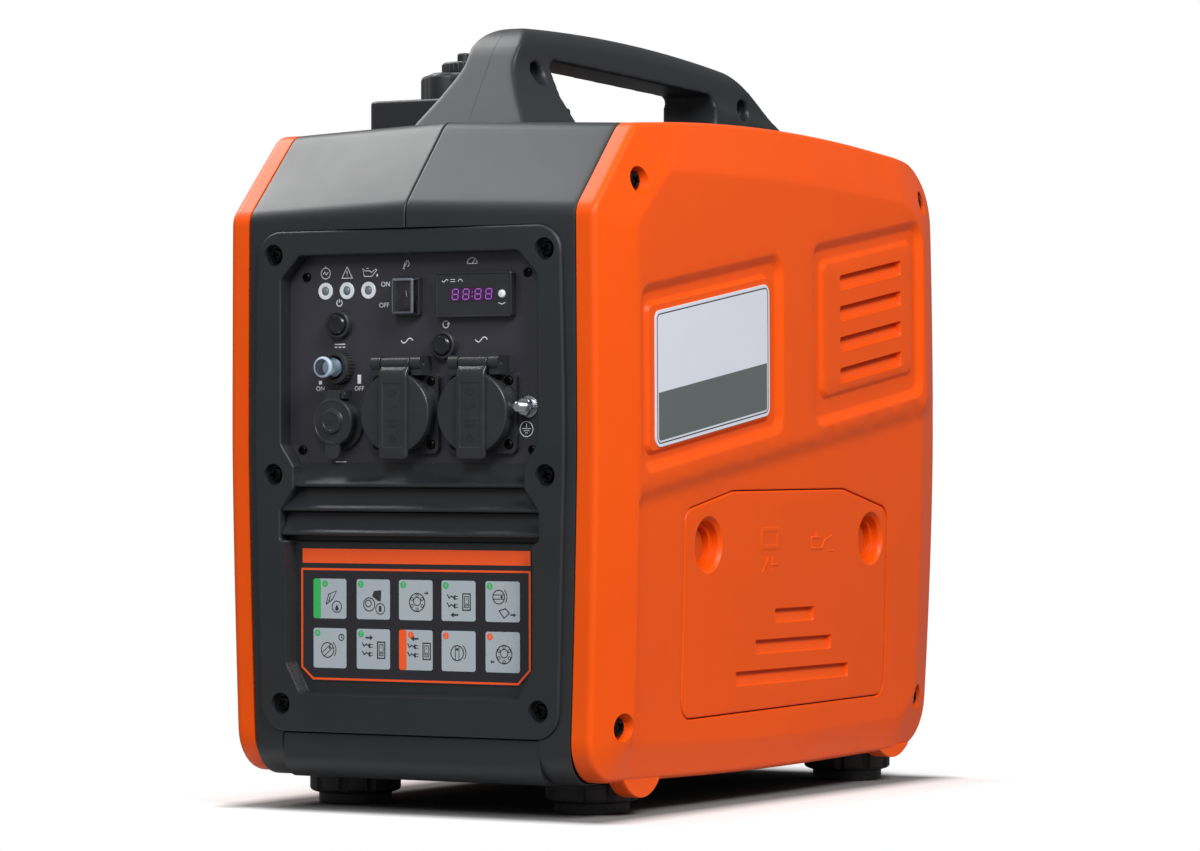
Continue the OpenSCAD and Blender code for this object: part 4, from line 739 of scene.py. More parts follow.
class GENERATOR_OT_right_cover(bpy.types.Operator):
    """Right side cover with its plate pocket, vents and opening for the service cover"""

    bl_idname = "generator.right_cover"
    bl_label = "Right cover"

    def execute(self, context):
        step = sizes().step
        service, pad = Outline(SERVICE, 5), Outline(LABEL_PAD, 6)

        def height(p):
            h = dished(p) + vent_relief(p) + screw_wells(p, COVER_SCREWS, WELL_R, WELL)
            return h + 2.7 * ease(inside(p, pad()) / 3.2, 0.4)

        rings = cover_rings(step) + [pad(d) for d in (0, 0.9, 1.8, 3.2)]
        sheet = relief(Outline(COVER, step), step, height, holes=[lambda d=0.0: service(d - 0.7)],
                       rings=rings, rim=COVER_RIM, hole_rim=((0.8, 0), (0.3, 0.25), (0, 0.8), (0, 3.5)))
        obj = moulding("right_cover_skin", sheet, right_side, COVER_WALL, [lug(*p) for p in LUGS],
                       SHELL + 0.2)
        hand_in(obj, "housing", ["right_cover"], "orange_plastic", FINISH["cover"], drawn_in=True)
        return {"FINISHED"}


class GENERATOR_OT_left_cover(bpy.types.Operator):
    """Left side cover with the choke dial's cup, the starter grip's bay and the cooling air's slots"""

    bl_idname = "generator.left_cover"
    bl_label = "Left cover"

    def execute(self, context):
        step = sizes().step
        dial, bay = circle(88, 262, 29, 72), Outline(slanted(128, 256.2, 80, 42, 10), 5)
        crank = cad("crankshaft")
        crank_y, crank_z = (crank[0].y + crank[1].y) / 2, (crank[0].z + crank[1].z) / 2
        slots = [rounded_box(crank_y - 58, crank_z - 52 + i * 17, crank_y + 58, crank_z - 44 + i * 17, 3, 6)
                 for i in range(7)]

        def height(p):
            h = dished(p) + vent_relief(p) + screw_wells(p, COVER_SCREWS, WELL_R, WELL)
            for shape, floor in ((dial, SHELL + 9), (bay, SHELL + 5)):
                deep = ease(inside(p, shape()) / 1.6, 0.4)
                h = h + (floor - h) * deep
            return h

        rings = cover_rings(step) + [shape(d) for shape in (dial, bay) for d in (-0.2, 0.3, 0.8, 1.6)]
        sheet = relief(Outline(COVER, step), step, height, holes=slots, rings=rings, rim=COVER_RIM,
                       hole_rim=((0.8, 0), (0.3, 0.25), (0, 0.8), (0, 2.2)))
        obj = moulding("left_cover_skin", sheet, left_side, COVER_WALL, [lug(*LUGS[1])], SHELL + 0.2)
        hand_in(obj, "housing", ["left_cover"], "orange_plastic", FINISH["cover"], drawn_in=True)
        return {"FINISHED"}


# ---------------------------------------------------------------- shells and handle
def side_corners(lead=0.0, slope=0.0, rise=0.0):
    """The case seen from its side; lead, slope and rise lift the middle ridge."""
    return [(3 - lead, 20.5, 24), (463, 20, 34), (473, 225, 3500), (466, 416 + rise / 2, 45),
            (225.6, 435 + rise, 1997), (54 - slope, 424.5 + rise, 16), (3 - lead, 371 + rise * 0.9, 14)]


BEZEL = [(-108.5, 49, 17), (108.5, 49, 17), (113.5, 230, 1500), (110.8, 361, 17), (-110.8, 361, 17),
         (-113.5, 230, 1500)]
HANDLE = [(64, 418.5, 1), (462, 412.5, 1), (452, 442.5, 20), (376, 485.5, 60), (350, 502, 2), (180, 497, 60),
          (111.5, 493, 42)]
FINGERS = [(137, 422, 2), (350, 420, 2), (354, 452, 20), (351, 464, 8), (140, 473, 6), (139.5, 462, 20),
           (136, 446, 30)]
GRIP = [(-12, 414, 0.1), (49, 414, 1), (41, 433, 10), (28.5, 451, 20), (19, 468, 20), (18.5, 494, 13),
        (-12, 494, 0.1)]
HANDLE_PLAN = [(-12, 40, 1), (49, 40, 3), (49, 150, 40), (21.5, 330, 40), (21.5, 470, 3), (-12, 470, 1)]
HANDLE_SCREWS = [(121.6, 463), (394, 456)]
# Radius, middle and top of the grip's long bow
BOW_R, BOW_Y, BOW_TOP = 1790, 180, 494


def solid(part, side=None):
    bm = bmesh.new()
    add(bm, part, side)
    bmesh.ops.recalc_face_normals(bm, faces=bm.faces)
    return part_object("tool", bm)


def slab_along(corners, side, h0, h1):
    return solid(slab(Outline(corners, 6), h0, h1, 0), side)


def shell_half():
    """Right half of the black case between the seam and the side cover."""
    ridge, edge = side_corners(4.5, 8, 4.5), side_corners()
    shape = Outline(edge, 7, 12)
    columns = [(0.25, 1.1), (0.45, 0.45), (0.9, 0.1), (1.6, 0), (20, 0), (40, 0), (60, 0), (80, 0), (98, 0),
               (108, 0), (114, 0), (118, 0), (119.2, 0.2), (SHELL - 0.35, 0.9)]
    loops = []
    for x, d in columns:
        t = x / SHELL
        mix = [tuple(a + (b - a) * t for a, b in zip(p, q)) for p, q in zip(ridge, edge)]
        loop = shape(d, mix)
        loops.append(np.column_stack([loop, np.full(len(loop), x)]))
    verts, polys = lofted(loops)
    obj = moulding("right_shell_skin", (verts, polys[:-2]), right_side, SHELL_WALL)
    cut(obj, slab_along(moved(BEZEL, -0.3), rear_side, -30, 11.5))
    cut(obj, solid(slab(rounded_box(-30, -20, 94, 453, 2), 0, 25, 0), upper_side))
    cut(obj, solid(slab(rounded_box(-30, 0, 94, 48.9, 2), -20, 18, 0), rear_side))
    cut(obj, solid(slab(rounded_box(-100, 64, 100, 370, 5), REAR - 15, REAR + 30, 0), rear_side))
    return obj


def handle_half():
    """Right half of the carrying handle, with its foot sunk in the case."""
    profile = slab_along(HANDLE, right_side, -9, 52)
    cut(profile, slab_along(FINGERS, right_side, -15, 60))
    loops = []
    section = Outline(GRIP, 3, 12)()
    for a in np.radians(np.linspace(-10.5, 10.5, 60)):
        r = BOW_R + section[:, 1] - BOW_TOP
        loops.append(np.column_stack([section[:, 0], BOW_Y + r * math.sin(a),
                                      BOW_TOP - BOW_R + r * math.cos(a)]))
    band = solid(lofted(loops))
    for tool in (band, solid(slab(Outline(HANDLE_PLAN, 6), 400, 520, 0), upper_side)):
        modifier(profile, "BOOLEAN", operation="INTERSECT", object=tool, solver="EXACT")
        finished(profile)
        bpy.data.objects.remove(tool)
    for y, z in HANDLE_SCREWS:
        cut(profile, solid(turned([(7.5, 11), (7.5, 60)], y, z), right_side))
    modifier(profile, "REMESH", mode="VOXEL", voxel_size=1.15)
    modifier(profile, "SMOOTH", factor=0.5, iterations=16)
    modifier(profile, "DECIMATE", ratio=0.35)
    finished(profile)
    # The halves meet at a fine line
    half = solid(slab(rounded_box(20, 380, 500, 540, 1), 0.1, 60, 0), right_side)
    modifier(profile, "BOOLEAN", operation="INTERSECT", object=half, solver="EXACT")
    finished(profile)
    bpy.data.objects.remove(half)
    return profile


class GENERATOR_OT_shells(bpy.types.Operator):
    """Black shells between the covers, with the filler's platform on the left one"""

    bl_idname = "generator.shells"
    bl_label = "Shells"

    def execute(self, context):
        right = shell_half()
        left = mirrored(right, "left_shell_skin")
        right.name = "right_shell_skin"
        hand_in(right, "housing", ["right_shell"], "black_plastic", FINISH["shell"], drawn_in=True)
        # The neck comes up through the left shell and its platform
        cut(left, solid(turned([(27.5, 380), (27.5, 460)], *FILLER), upper_side))
        hand_in(left, "housing", ["left_shell"], "black_plastic", FINISH["shell"], drawn_in=True)
        bm = bmesh.new()
        add(bm, slab(Outline(box_corners(-106, 116, -24, 242, 8), 6), 424, 450, 2.2), upper_side)
        platform = part_object("filler_platform", bm)
        cut(platform, solid(turned([(26.5, 380), (26.5, 460)], *FILLER), upper_side))
        hand_in(platform, "housing", ["left_shell"], "black_plastic", FINISH["shell"])
        return {"FINISHED"}


class GENERATOR_OT_handle(bpy.types.Operator):
    """Carrying handle in two halves that meet at a seam along its middle"""

    bl_idname = "generator.handle"
    bl_label = "Handle"

    def execute(self, context):
        right = handle_half()
        right.name = "right_handle_half"
        left = mirrored(right, "left_handle_half")
        for obj, node in ((right, "right_shell"), (left, "left_shell")):
            hand_in(obj, "housing", [node], "black_plastic", FINISH["shell"], smooth=50)
        return {"FINISHED"}


# ---------------------------------------------------------------- front
WINDOW = [(-94.5, 168, 2), (94.5, 168, 2), (94.5, 187, 3), (84.2, 201, 3), (84.2, 214.5, 3), (93.7, 228, 4),
          (93.7, 331, 4), (80, 345.5, 4), (-80, 345.5, 4), (-93.7, 331, 4), (-93.7, 228, 4),
          (-84.2, 214.5, 3), (-84.2, 201, 3), (-94.5, 187, 3)]
RECESS = [(-78.5, 74, 3), (78.5, 74, 3), (88.5, 92, 3), (88.5, 167.5, 3), (-88.5, 167.5, 3), (-88.5, 92, 3)]
STICKER = [(-75, 80.5, 2), (75, 80.5, 2), (84.5, 89, 2), (84.5, 163, 1), (-84.5, 163, 1), (-84.5, 89, 2)]
BEZEL_SCREWS = [(99, 346), (99.4, 209), (94.2, 66)]
RECESS_DEPTH = 9.3


def both(places):
    return [(s * a, b) for a, b in places for s in (1, -1)]


class GENERATOR_OT_front_bezel(bpy.types.Operator):
    """Frame round the control panel and the air intake, with the instruction sticker's recess"""

    bl_idname = "generator.front_bezel"
    bl_label = "Front bezel"

    def execute(self, context):
        step = sizes().step
        window, recess = Outline(WINDOW, 5), Outline(moved(RECESS, -2), 5)

        def height(p):
            ramp = ease(inside(p, recess()) / 2, 0.12)
            return -RECESS_DEPTH * ramp + screw_wells(p, both(BEZEL_SCREWS), 7, 5, 0.8)

        rings = [recess(d) for d in (-0.3, 0, 0.25, 0.5, 1, 1.5, 1.75, 2, 2.4)]
        for a, b in both(BEZEL_SCREWS):
            rings += [circle(a, b, r, 36)() for r in (7.3, 7, 6.75, 6.45, 6.2)]
        sheet = relief(Outline(BEZEL, step), step, height, holes=[lambda d=0.0: window(d)], rings=rings,
                       rim=((1.6, 0), (0.9, 0.2), (0.3, 0.7), (0, 1.6), (0, 10.6)),
                       hole_rim=((1.2, 0), (0.55, 0.2), (0.15, 0.6), (0, 1.2), (0, 10.6)))
        obj = moulding("front_bezel_skin", sheet, front_side, 2.2)
        hand_in(obj, "housing", ["front_bezel"], "black_plastic", FINISH["shell"], smooth=12)
        return {"FINISHED"}


# ---------------------------------------------------------------- copies with geometry nodes
def copies_tree(kind):
    """A node group that copies a piece on places, along a line or round a ring, and joins them."""
    tree = bpy.data.node_groups.new("copies_" + kind, "GeometryNodeTree")
    face = tree.interface
    for name, sort in (("Geometry", "Geometry"), ("Piece", "Object"), ("Finish", "Material"),
                       ("Count", "Int"), ("Step", "Vector"), ("Radius", "Float"),
                       ("Loose turn", "Vector"), ("Seed", "Int")):
        face.new_socket(name, in_out="INPUT", socket_type="NodeSocket" + sort)
    face.new_socket("Geometry", in_out="OUTPUT", socket_type="NodeSocketGeometry")
    given = shader(tree, "NodeGroupInput").outputs
    if kind == "line":
        points = shader(tree, "GeometryNodeMeshLine",
                        links={"Count": given["Count"], "Offset": given["Step"]})
        turn = None
    elif kind == "ring":
        points = shader(tree, "GeometryNodeMeshCircle", links={"Vertices": given["Count"],
                                                              "Radius": given["Radius"]})
        out = shader(tree, "GeometryNodeInputPosition").outputs[0]
        turn = shader(tree, "FunctionNodeAlignRotationToVector", links={"Vector": out}, axis="X").outputs[0]
    else:
        points, turn = None, None
    host = points.outputs["Mesh"] if points else given["Geometry"]
    if kind == "places":
        least = shader(tree, "ShaderNodeVectorMath", links={0: given["Loose turn"]}, operation="SCALE")
        least.inputs["Scale"].default_value = -1.0
        turn = shader(tree, "FunctionNodeRandomValue", links={
            0: least.outputs[0], 1: given["Loose turn"], "Seed": given["Seed"]},
                      data_type="FLOAT_VECTOR").outputs[0]
    piece = shader(tree, "GeometryNodeObjectInfo", links={"Object": given["Piece"]})
    copies = shader(tree, "GeometryNodeInstanceOnPoints", links={"Points": host,
                                                                "Instance": piece.outputs["Geometry"]})
    if turn is not None:
        tree.links.new(turn, copies.inputs["Rotation"])
    real = shader(tree, "GeometryNodeRealizeInstances", links={"Geometry": copies.outputs[0]})
    painted = shader(tree, "GeometryNodeSetMaterial", links={"Geometry": real.outputs[0],
                                                            "Material": given["Finish"]})
    shader(tree, "NodeGroupOutput", links={0: painted.outputs[0]})
    return tree


def copies(name, part, kind, finish, places=(), at=(0, 0, 0), **inputs):
    """One mesh with a copy of the part at each place, along a line or round a ring."""
    bm = bmesh.new()
    add(bm, part)
    bmesh.ops.recalc_face_normals(bm, faces=bm.faces)
    piece = part_object("piece", bm)
    mesh = bpy.data.meshes.new(name)
    mesh.from_pydata([tuple(p) for p in places], [], [])
    obj = bpy.data.objects.new(name, mesh)
    bpy.context.scene.collection.objects.link(obj)
    key = "copies_" + kind
    tree = bpy.data.node_groups.get(key) or copies_tree(kind)
    m = obj.modifiers.new("copies", "NODES")
    m.node_group = tree
    values = {"Piece": piece, "Finish": finish, "Seed": 7, **inputs}
    for item in tree.interface.items_tree:
        if item.item_type == "SOCKET" and item.in_out == "INPUT" and item.name in values:
            m[item.identifier] = values[item.name]
    finished(obj)
    bpy.data.objects.remove(piece)
    obj.data.transform(Matrix.Translation(at))
    return obj


def pan_screw(r, h):
    """A screw head with a cross recess, standing on z = 0 and facing up."""
    bm = bmesh.new()
    rings = [(r, 0), (r, h * 0.35), (r * 0.93, h * 0.7), (r * 0.78, h * 0.92), (r * 0.6, h)]
    add(bm, turned(rings, count=36))
    bmesh.ops.recalc_face_normals(bm, faces=bm.faces)
    head = part_object("tool", bm)
    arm, half = r * 0.62, r * 0.17
    corners = []
    for a, b in ((arm, half), (half, half), (half, arm), (-half, arm), (-half, half), (-arm, half),
                 (-arm, -half), (-half, -half), (-half, -arm), (half, -arm), (half, -half), (arm, -half)):
        corners.append((a, b, 0.05))
    depth = h * 0.75
    loop = np.array([c[:2] for c in corners])
    core = [np.column_stack([loop * s, np.full(12, z)])
            for s, z in ((0.7, h - depth), (1, h + 0.01), (1, h + 1))]
    cut(head, solid(lofted(core)))
    mesh = head.data
    part = (np.array([tuple(v.co) for v in mesh.vertices]), [tuple(p.vertices) for p in mesh.polygons])
    bpy.data.objects.remove(head)
    return part


def faced(part, axis, sign=1):
    """A part that faces up, turned to face along x or y."""
    verts, polys = part
    x, y, z = verts.T
    if axis == "x":
        return np.column_stack([sign * z, x, y]), polys
    return np.column_stack([x, sign * z, y]), polys


# ---------------------------------------------------------------- printed marks
def flat_text(words, size):
    """Outline of plain lettering, as verts and faces centred on the origin."""
    curve = bpy.data.curves.new("words", "FONT")
    curve.body, curve.size, curve.align_x, curve.align_y = words, size, "CENTER", "CENTER"
    curve.resolution_u = 3
    obj = bpy.data.objects.new("words", curve)
    bpy.context.scene.collection.objects.link(obj)
    bpy.context.view_layer.update()
    mesh = bpy.data.meshes.new_from_object(obj.evaluated_get(bpy.context.evaluated_depsgraph_get()))
    part = ([tuple(v.co)[:2] for v in mesh.vertices], [tuple(p.vertices) for p in mesh.polygons])
    bpy.data.objects.remove(obj)
    bpy.data.meshes.remove(mesh)
    return part


class Ink:
    """Flat printed shapes gathered into one thin film that stands off a face."""

    def __init__(self, film=0.06, bold=1.0):
        self.bm, self.film, self.bold = bmesh.new(), film, bold

    def face(self, points):
        vs = [self.bm.verts.new((a, b, 0)) for a, b in points]
        self.bm.faces.new(vs)

    def disc(self, a, b, r, count=28):
        self.face([(a + r * math.cos(t), b + r * math.sin(t))
                   for t in np.arange(count) * 2 * math.pi / count])

    def path(self, points, width, closed=False):
        """A line of a width along points."""
        p = np.array(points, float)
        if closed:
            before, after = np.roll(p, 1, 0), np.roll(p, -1, 0)
        else:
            before = np.vstack([2 * p[0] - p[1], p[:-1]])
            after = np.vstack([p[1:], 2 * p[-1] - p[-2]])
        d1, d2 = p - before, after - p
        d1 /= np.linalg.norm(d1, axis=1)[:, None] + 1e-9
        d2 /= np.linalg.norm(d2, axis=1)[:, None] + 1e-9
        n1, n2 = np.column_stack([-d1[:, 1], d1[:, 0]]), np.column_stack([-d2[:, 1], d2[:, 0]])
        m = n1 + n2
        m = m / np.maximum((m * n1).sum(1), 0.5)[:, None] * width * self.bold / 2
        left = [self.bm.verts.new((a, b, 0)) for a, b in p + m]
        right = [self.bm.verts.new((a, b, 0)) for a, b in p - m]
        n = len(p)
        for i in range(n if closed else n - 1):
            j = (i + 1) % n
            self.bm.faces.new((right[i], right[j], left[j], left[i]))

    def arc(self, a, b, r, start, end, width, ry=None):
        turn = np.radians(np.linspace(start, end, max(4, int(abs(end - start) / 12) + 1)))
        whole = abs(end - start) >= 359
        pts = [(a + r * math.cos(t), b + (ry or r) * math.sin(t)) for t in (turn[:-1] if whole else turn)]
        self.path(pts, width, whole)

    def box(self, a0, b0, a1, b1):
        self.face([(a0, b0), (a1, b0), (a1, b1), (a0, b1)])

    def text(self, words, a, b, size):
        pts, polys = flat_text(words, size)
        vs = [self.bm.verts.new((a + x, b + y, 0)) for x, y in pts]
        for f in polys:
            self.bm.faces.new([vs[i] for i in f])

    def made(self, name, side, level):
        """The film as an object; level is the face it lies on."""
        bm = self.bm
        bmesh.ops.recalc_face_normals(bm, faces=bm.faces)
        for f in bm.faces:
            if f.normal.z < 0:
                f.normal_flip()
        grown = bmesh.ops.extrude_face_region(bm, geom=bm.faces[:])
        top = [v for v in grown["geom"] if isinstance(v, bmesh.types.BMVert)]
        bmesh.ops.translate(bm, vec=(0, 0, self.film), verts=top)
        bmesh.ops.recalc_face_normals(bm, faces=bm.faces)
        for v in bm.verts:
            v.co = Vector(side(v.co.x, v.co.y, level + v.co.z))
        if (Vector(side(1, 0, 0)) - Vector(side(0, 0, 0))).cross(
                Vector(side(0, 1, 0)) - Vector(side(0, 0, 0))).dot(
                Vector(side(0, 0, 1)) - Vector(side(0, 0, 0))) < 0:
            bmesh.ops.reverse_faces(bm, faces=bm.faces)
        return part_object(name, bm)


def printed(ink, name, side, level, finish, slot="label_film"):
    return hand_in(ink.made(name, side, level), "housing", [], slot, FINISH[finish], recalc=False)


def arrow(ink, a, b, long, high, way=1):
    """A plain block arrow centred on a, b."""
    pts = [(-0.5, -0.17), (0.08, -0.17), (0.08, -0.5), (0.5, 0), (0.08, 0.5), (0.08, 0.17), (-0.5, 0.17)]
    ink.face([(a + way * x * long, b + y * high) for x, y in (pts if way > 0 else pts[::-1])])


def drop(ink, a, b, r):
    pts = [(a + r * math.cos(t), b + r * math.sin(t)) for t in np.radians(np.linspace(-220, 40, 14))]
    ink.face(pts + [(a, b + 2.1 * r)])


# ---------------------------------------------------------------- copies of the solids
def softened(node, body, finish, width):
    """A copy of a solid whose edges are rounded over."""
    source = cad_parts[node]
    mesh = source.data.copy()
    mesh.transform(source.matrix_world)
    bm = bmesh.new()
    bm.from_mesh(mesh)
    bmesh.ops.remove_doubles(bm, verts=bm.verts, dist=2e-6)
    bmesh.ops.dissolve_degenerate(bm, edges=bm.edges, dist=1e-6)
    bmesh.ops.dissolve_limit(bm, angle_limit=math.radians(1.0), verts=bm.verts, edges=bm.edges)
    bmesh.ops.recalc_face_normals(bm, faces=bm.faces)
    bm.to_mesh(mesh)
    bm.free()
    obj = bpy.data.objects.new(node + "_skin", mesh)
    bpy.context.scene.collection.objects.link(obj)
    modifier(obj, "BEVEL", width=width / 1000, segments=2, limit_method="ANGLE",
             angle_limit=math.radians(35),
             use_clamp_overlap=True, miter_outer="MITER_ARC", harden_normals=False)
    finished(obj)
    mesh = obj.data
    mesh.shade_smooth()
    mesh.set_sharp_from_angle(angle=math.radians(38))
    evened(obj)
    obj.data.materials.clear()
    obj.data.materials.append(FINISH[finish])
    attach(obj, body)
    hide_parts(node)
    return obj


class GENERATOR_OT_softened(bpy.types.Operator):
    """Plainer mouldings and castings, made from the solids with their edges rounded over"""

    bl_idname = "generator.softened"
    bl_label = "Plainer parts"

    def execute(self, context):
        for node, body, slot, finish, width in (
                ("base_tray", "housing", "black_plastic", "shell", 0.8),
                ("rear_panel", "housing", "black_plastic", "shell", 0.5),
                # The latches' darker orange is painted shade of their deep cups
                ("service_latch_front", "front_latch_body", "orange_plastic", "latch", 0.5),
                ("service_latch_rear", "rear_latch_body", "orange_plastic", "latch", 0.5),
                ("recoil_grip", "recoil_grip_body", "trim_plastic", "trim", 1.6),
                ("engine_dial", "dial_body", "trim_plastic", "trim", 1.2),
                ("control_panel", "housing", "panel_plastic", "panel", 0.25),
                ("switch_rocker", "rocker_body", "trim_plastic", "rocker", 0.35),
                ("lid_hinge_pins", "housing", "zinc_steel", "zinc", 0.2),
                ("earth_clips", "housing", "brass", "brass", 0.15),
                ("cylinder_head", "housing", "cast_aluminium", "cast", 0.5),
                ("engine_block", "housing", "cast_aluminium", "cast", 1.0),
                ("muffler", "housing", "muffler_steel", "muffler", 1.2)):
            softened(node, body, finish, width)
        return {"FINISHED"}


# ---------------------------------------------------------------- service cover and plates
LATCH_Y, LATCH_Z = (135.3, 355.0), 164.9


class GENERATOR_OT_service_cover(bpy.types.Operator):
    """Lift-off service cover with two latch cups, three grooves and moulded signs"""

    bl_idname = "generator.service_cover"
    bl_label = "Service cover"

    def execute(self, context):
        face = FACE - 4
        grooves = [rounded_box(250.5 - w / 2, 113 - 19.3 * i, 250.5 + w / 2, 122.5 - 19.3 * i, 1.6, 6)
                   for i, w in enumerate((53, 103, 153))]
        marks = [np.array(p) for p in (
            # Outer and inner edge of the raised frame
            [(203, 160), (228, 160), (228, 175), (203, 175)],
            [(206, 163), (225, 163), (225, 172), (206, 172)])]

        def height(p):
            h = np.full(len(p), face)
            for y in LATCH_Y:
                d = np.hypot(p[:, 0] - y, p[:, 1] - LATCH_Z)
                h -= 2.2 * ease((18 - d) / 2.2, 0.3) + 4.8 * ease((15.6 - d) / 0.9, 0.35)
                h -= 10.8 * ease((12.2 - d) / 0.9, 0.35)
            for i, g in enumerate(grooves):
                up = np.clip((p[:, 1] - 113 + 19.3 * i) / 9.5, 0, 1)
                h -= (0.9 + 3.0 * up) * ease(inside(p, g()) / 1.0, 0.3)
            frame_mark = np.minimum(ease(inside(p, marks[0]) / 0.7, 0.3),
                                    1 - ease(inside(p, marks[1]) / 0.7, 0.3))
            h += 0.4 * frame_mark
            for a, b, c, e, w in SERVICE_STROKES:
                h += 0.4 * ease((w / 2 - stroke(p, a, b, c, e)) / 0.6, 0.3)
            return h

        rings = []
        for y in LATCH_Y:
            rings += [circle(y, LATCH_Z, r, 72)() for r in
                      (18.2, 18, 17.3, 16.6, 15.8, 15.6, 15.2, 14.9, 14.6, 12.3, 12.1, 11.8, 11.5, 11.2, 8)]
        for g in grooves:
            rings += [g(d) for d in (-0.2, 0, 0.35, 0.7, 1.0, 3.5)]
        rings += [box_ring(203, 160, 228, 175, d) for d in (0, 0.35, 0.7, 3.0, 3.35, 3.7)]
        for a, b, c, e, w in SERVICE_STROKES:
            rings += [capsule(a, b, c, e, w / 2 - d) for d in (0, 0.3, 0.6) if w / 2 > d + 0.1]
        sheet = relief(Outline(SERVICE, 5), sizes().step, height, rings=rings,
                       rim=((1.3, 0), (0.6, 0.25), (0.15, 0.8), (0, 1.5), (0, 3.4)))
        obj = moulding("service_cover_skin", sheet, right_side, 1.8)
        hand_in(obj, "service_cover_body", ["service_cover"], "orange_plastic", FINISH["cover"],
                drawn_in=True)
        return {"FINISHED"}


def stroke(p, a, b, c, e):
    """Distance of points from a straight stroke."""
    q, d = p - np.array([a, b]), np.array([c - a, e - b], float)
    t = np.clip((q @ d) / max(d @ d, 1e-6), 0, 1)
    return np.linalg.norm(q - t[:, None] * d, axis=1)


def capsule(a, b, c, e, r):
    turn = math.atan2(e - b, c - a)
    half = np.linspace(-math.pi / 2, math.pi / 2, 7)
    return np.array([(c + r * math.cos(turn + t), e + r * math.sin(turn + t)) for t in half]
                    + [(a - r * math.cos(turn + t), b - r * math.sin(turn + t)) for t in half])


def box_ring(a0, b0, a1, b1, d):
    return Outline(box_corners(a0 + d, b0 + d, a1 - d, b1 - d, 0.1), 3)()


# Raised strokes on the service cover: start, end and width
SERVICE_STROKES = [
    (206, 155, 213, 146, 1.8), (213, 155, 206, 146, 1.8), (219, 146, 219, 155, 1.6),
    (216, 150.5, 226, 150.5, 1.6),
    (272, 160, 286, 160, 1.8), (286, 160, 290, 165, 1.8), (290, 165, 300, 168, 1.6),
    (272, 160, 272, 167, 1.8),
    (272, 167, 284, 167, 1.8), (278, 167, 278, 170, 1.6), (296, 158, 302, 158, 1.6)]


class GENERATOR_OT_side_plate(bpy.types.Operator):
    """Two-tone plate in the right cover's pocket, with a thin dark border"""

    bl_idname = "generator.side_plate"
    bl_label = "Side plate"

    def execute(self, context):
        corners = slanted(61.5, 225, 146, 84, 6)
        shape, top = Outline(corners, 6, 6), PLATE_FACE
        bm = bmesh.new()
        add(bm, slab(shape, top - 0.8, top, 0.25), right_side)
        obj = part_object("side_plate_skin", bm)
        hand_in(obj, "housing", ["side_label"], "label_film", FINISH["plate"], drawn_in=True)
        line = Ink(0.05)
        line.path(shape(2.4), 0.8, closed=True)
        obj = line.made("side_plate_border", right_side, top)
        hand_in(obj, "housing", [], "label_film", FINISH["plate_line"], recalc=False, drawn_in=True)
        # The lower part is dark: the inner outline below a slanted line
        dark, inner, ring = Ink(0.05), shape(3.9), []
        under = 225 + 84 * 0.40 + (inner[:, 0] - 61.5) * SLANT - inner[:, 1]
        for k in range(len(inner)):
            n = (k + 1) % len(inner)
            if under[k] >= 0:
                ring.append(tuple(inner[k]))
            if under[k] * under[n] < 0:
                ring.append(tuple(inner[k] + (inner[n] - inner[k]) * under[k] / (under[k] - under[n])))
        dark.face(ring)
        obj = dark.made("side_plate_dark_half", right_side, top)
        hand_in(obj, "housing", [], "label_film", FINISH["plate_dark"], recalc=False, drawn_in=True)
        return {"FINISHED"}


TILES = [(x, z) for z in (131.9, 101.1) for x in (-62.75, -30.45, 0.85, 32.05, 63.85)]


class GENERATOR_OT_sticker(bpy.types.Operator):
    """Instruction sticker with ten picture tiles under an orange header"""

    bl_idname = "generator.sticker"
    bl_label = "Instruction sticker"

    def execute(self, context):
        face = RECESS_DEPTH - 0.4
        bm = bmesh.new()
        add(bm, slab(Outline(STICKER, 8), -RECESS_DEPTH, -face, 0.1), front_side)
        hand_in(part_object("sticker_film", bm), "housing", ["instruction_plate"], "sticker_film",
                FINISH["sticker"])
        orange, tile, green, ink, white = Ink(0.04), Ink(0.04), Ink(0.04), Ink(0.04, 1.35), Ink(0.04)
        orange.face([(-83.2, 154), (83.7, 154), (83.7, 163), (-83.2, 163)])
        edge = [(-83.6, 89), (-75.3, 81.9), (74.8, 81.9), (83.2, 90.4), (83.2, 150.2), (-83.6, 150.2)]
        orange.path(edge, 1.3, closed=True)
        for k, (x, z) in enumerate(TILES):
            first, second = k == 0, k == 7
            tile.face([tuple(p) for p in rounded_box(x - 12.3, z - 12.4, x + 12.3, z + 12.4, 1.6)()])
            if first or second:
                band = green if first else orange
                band.face([tuple(p) for p in rounded_box(x - 12.3, z - 12.4, x - 6.7, z + 12.4, 1.6)()])
            dot = (x - 3.6 if first or second else x - 9.2, z + 9.3)
            (green if k < 7 else orange).disc(dot[0], dot[1], 2.15)
            white.text(str(k + 1 if k < 7 else k - 6), dot[0], dot[1], 3.6)
            picture(ink, k, x + (2.6 if first or second else 0.4), z - 0.6)
        for item, name, finish, level in ((tile, "tiles", "sticker_tile", 0),
                                          (orange, "orange", "sticker_orange", 0.04),
                                          (green, "green", "sticker_green", 0.04),
                                          (ink, "pictures", "ink", 0.04),
                                          (white, "numbers", "sticker_tile", 0.08)):
            printed(item, "sticker_" + name, front_side, level - face, finish, slot="sticker_film")
        return {"FINISHED"}


def plug(ink, a, b):
    """A mains plug with its flex."""
    ink.path([(a - 6, b + 2), (a - 4.6, b - 0.4), (a - 3, b + 1), (a - 1.6, b)], 0.55)
    ink.face([(a + 1.6 * math.cos(t), b + 1.6 * math.sin(t)) for t in np.radians(np.linspace(90, 270, 9))])
    for e in (-0.8, 0.8):
        ink.box(a, b + e - 0.25, a + 1.9, b + e + 0.25)


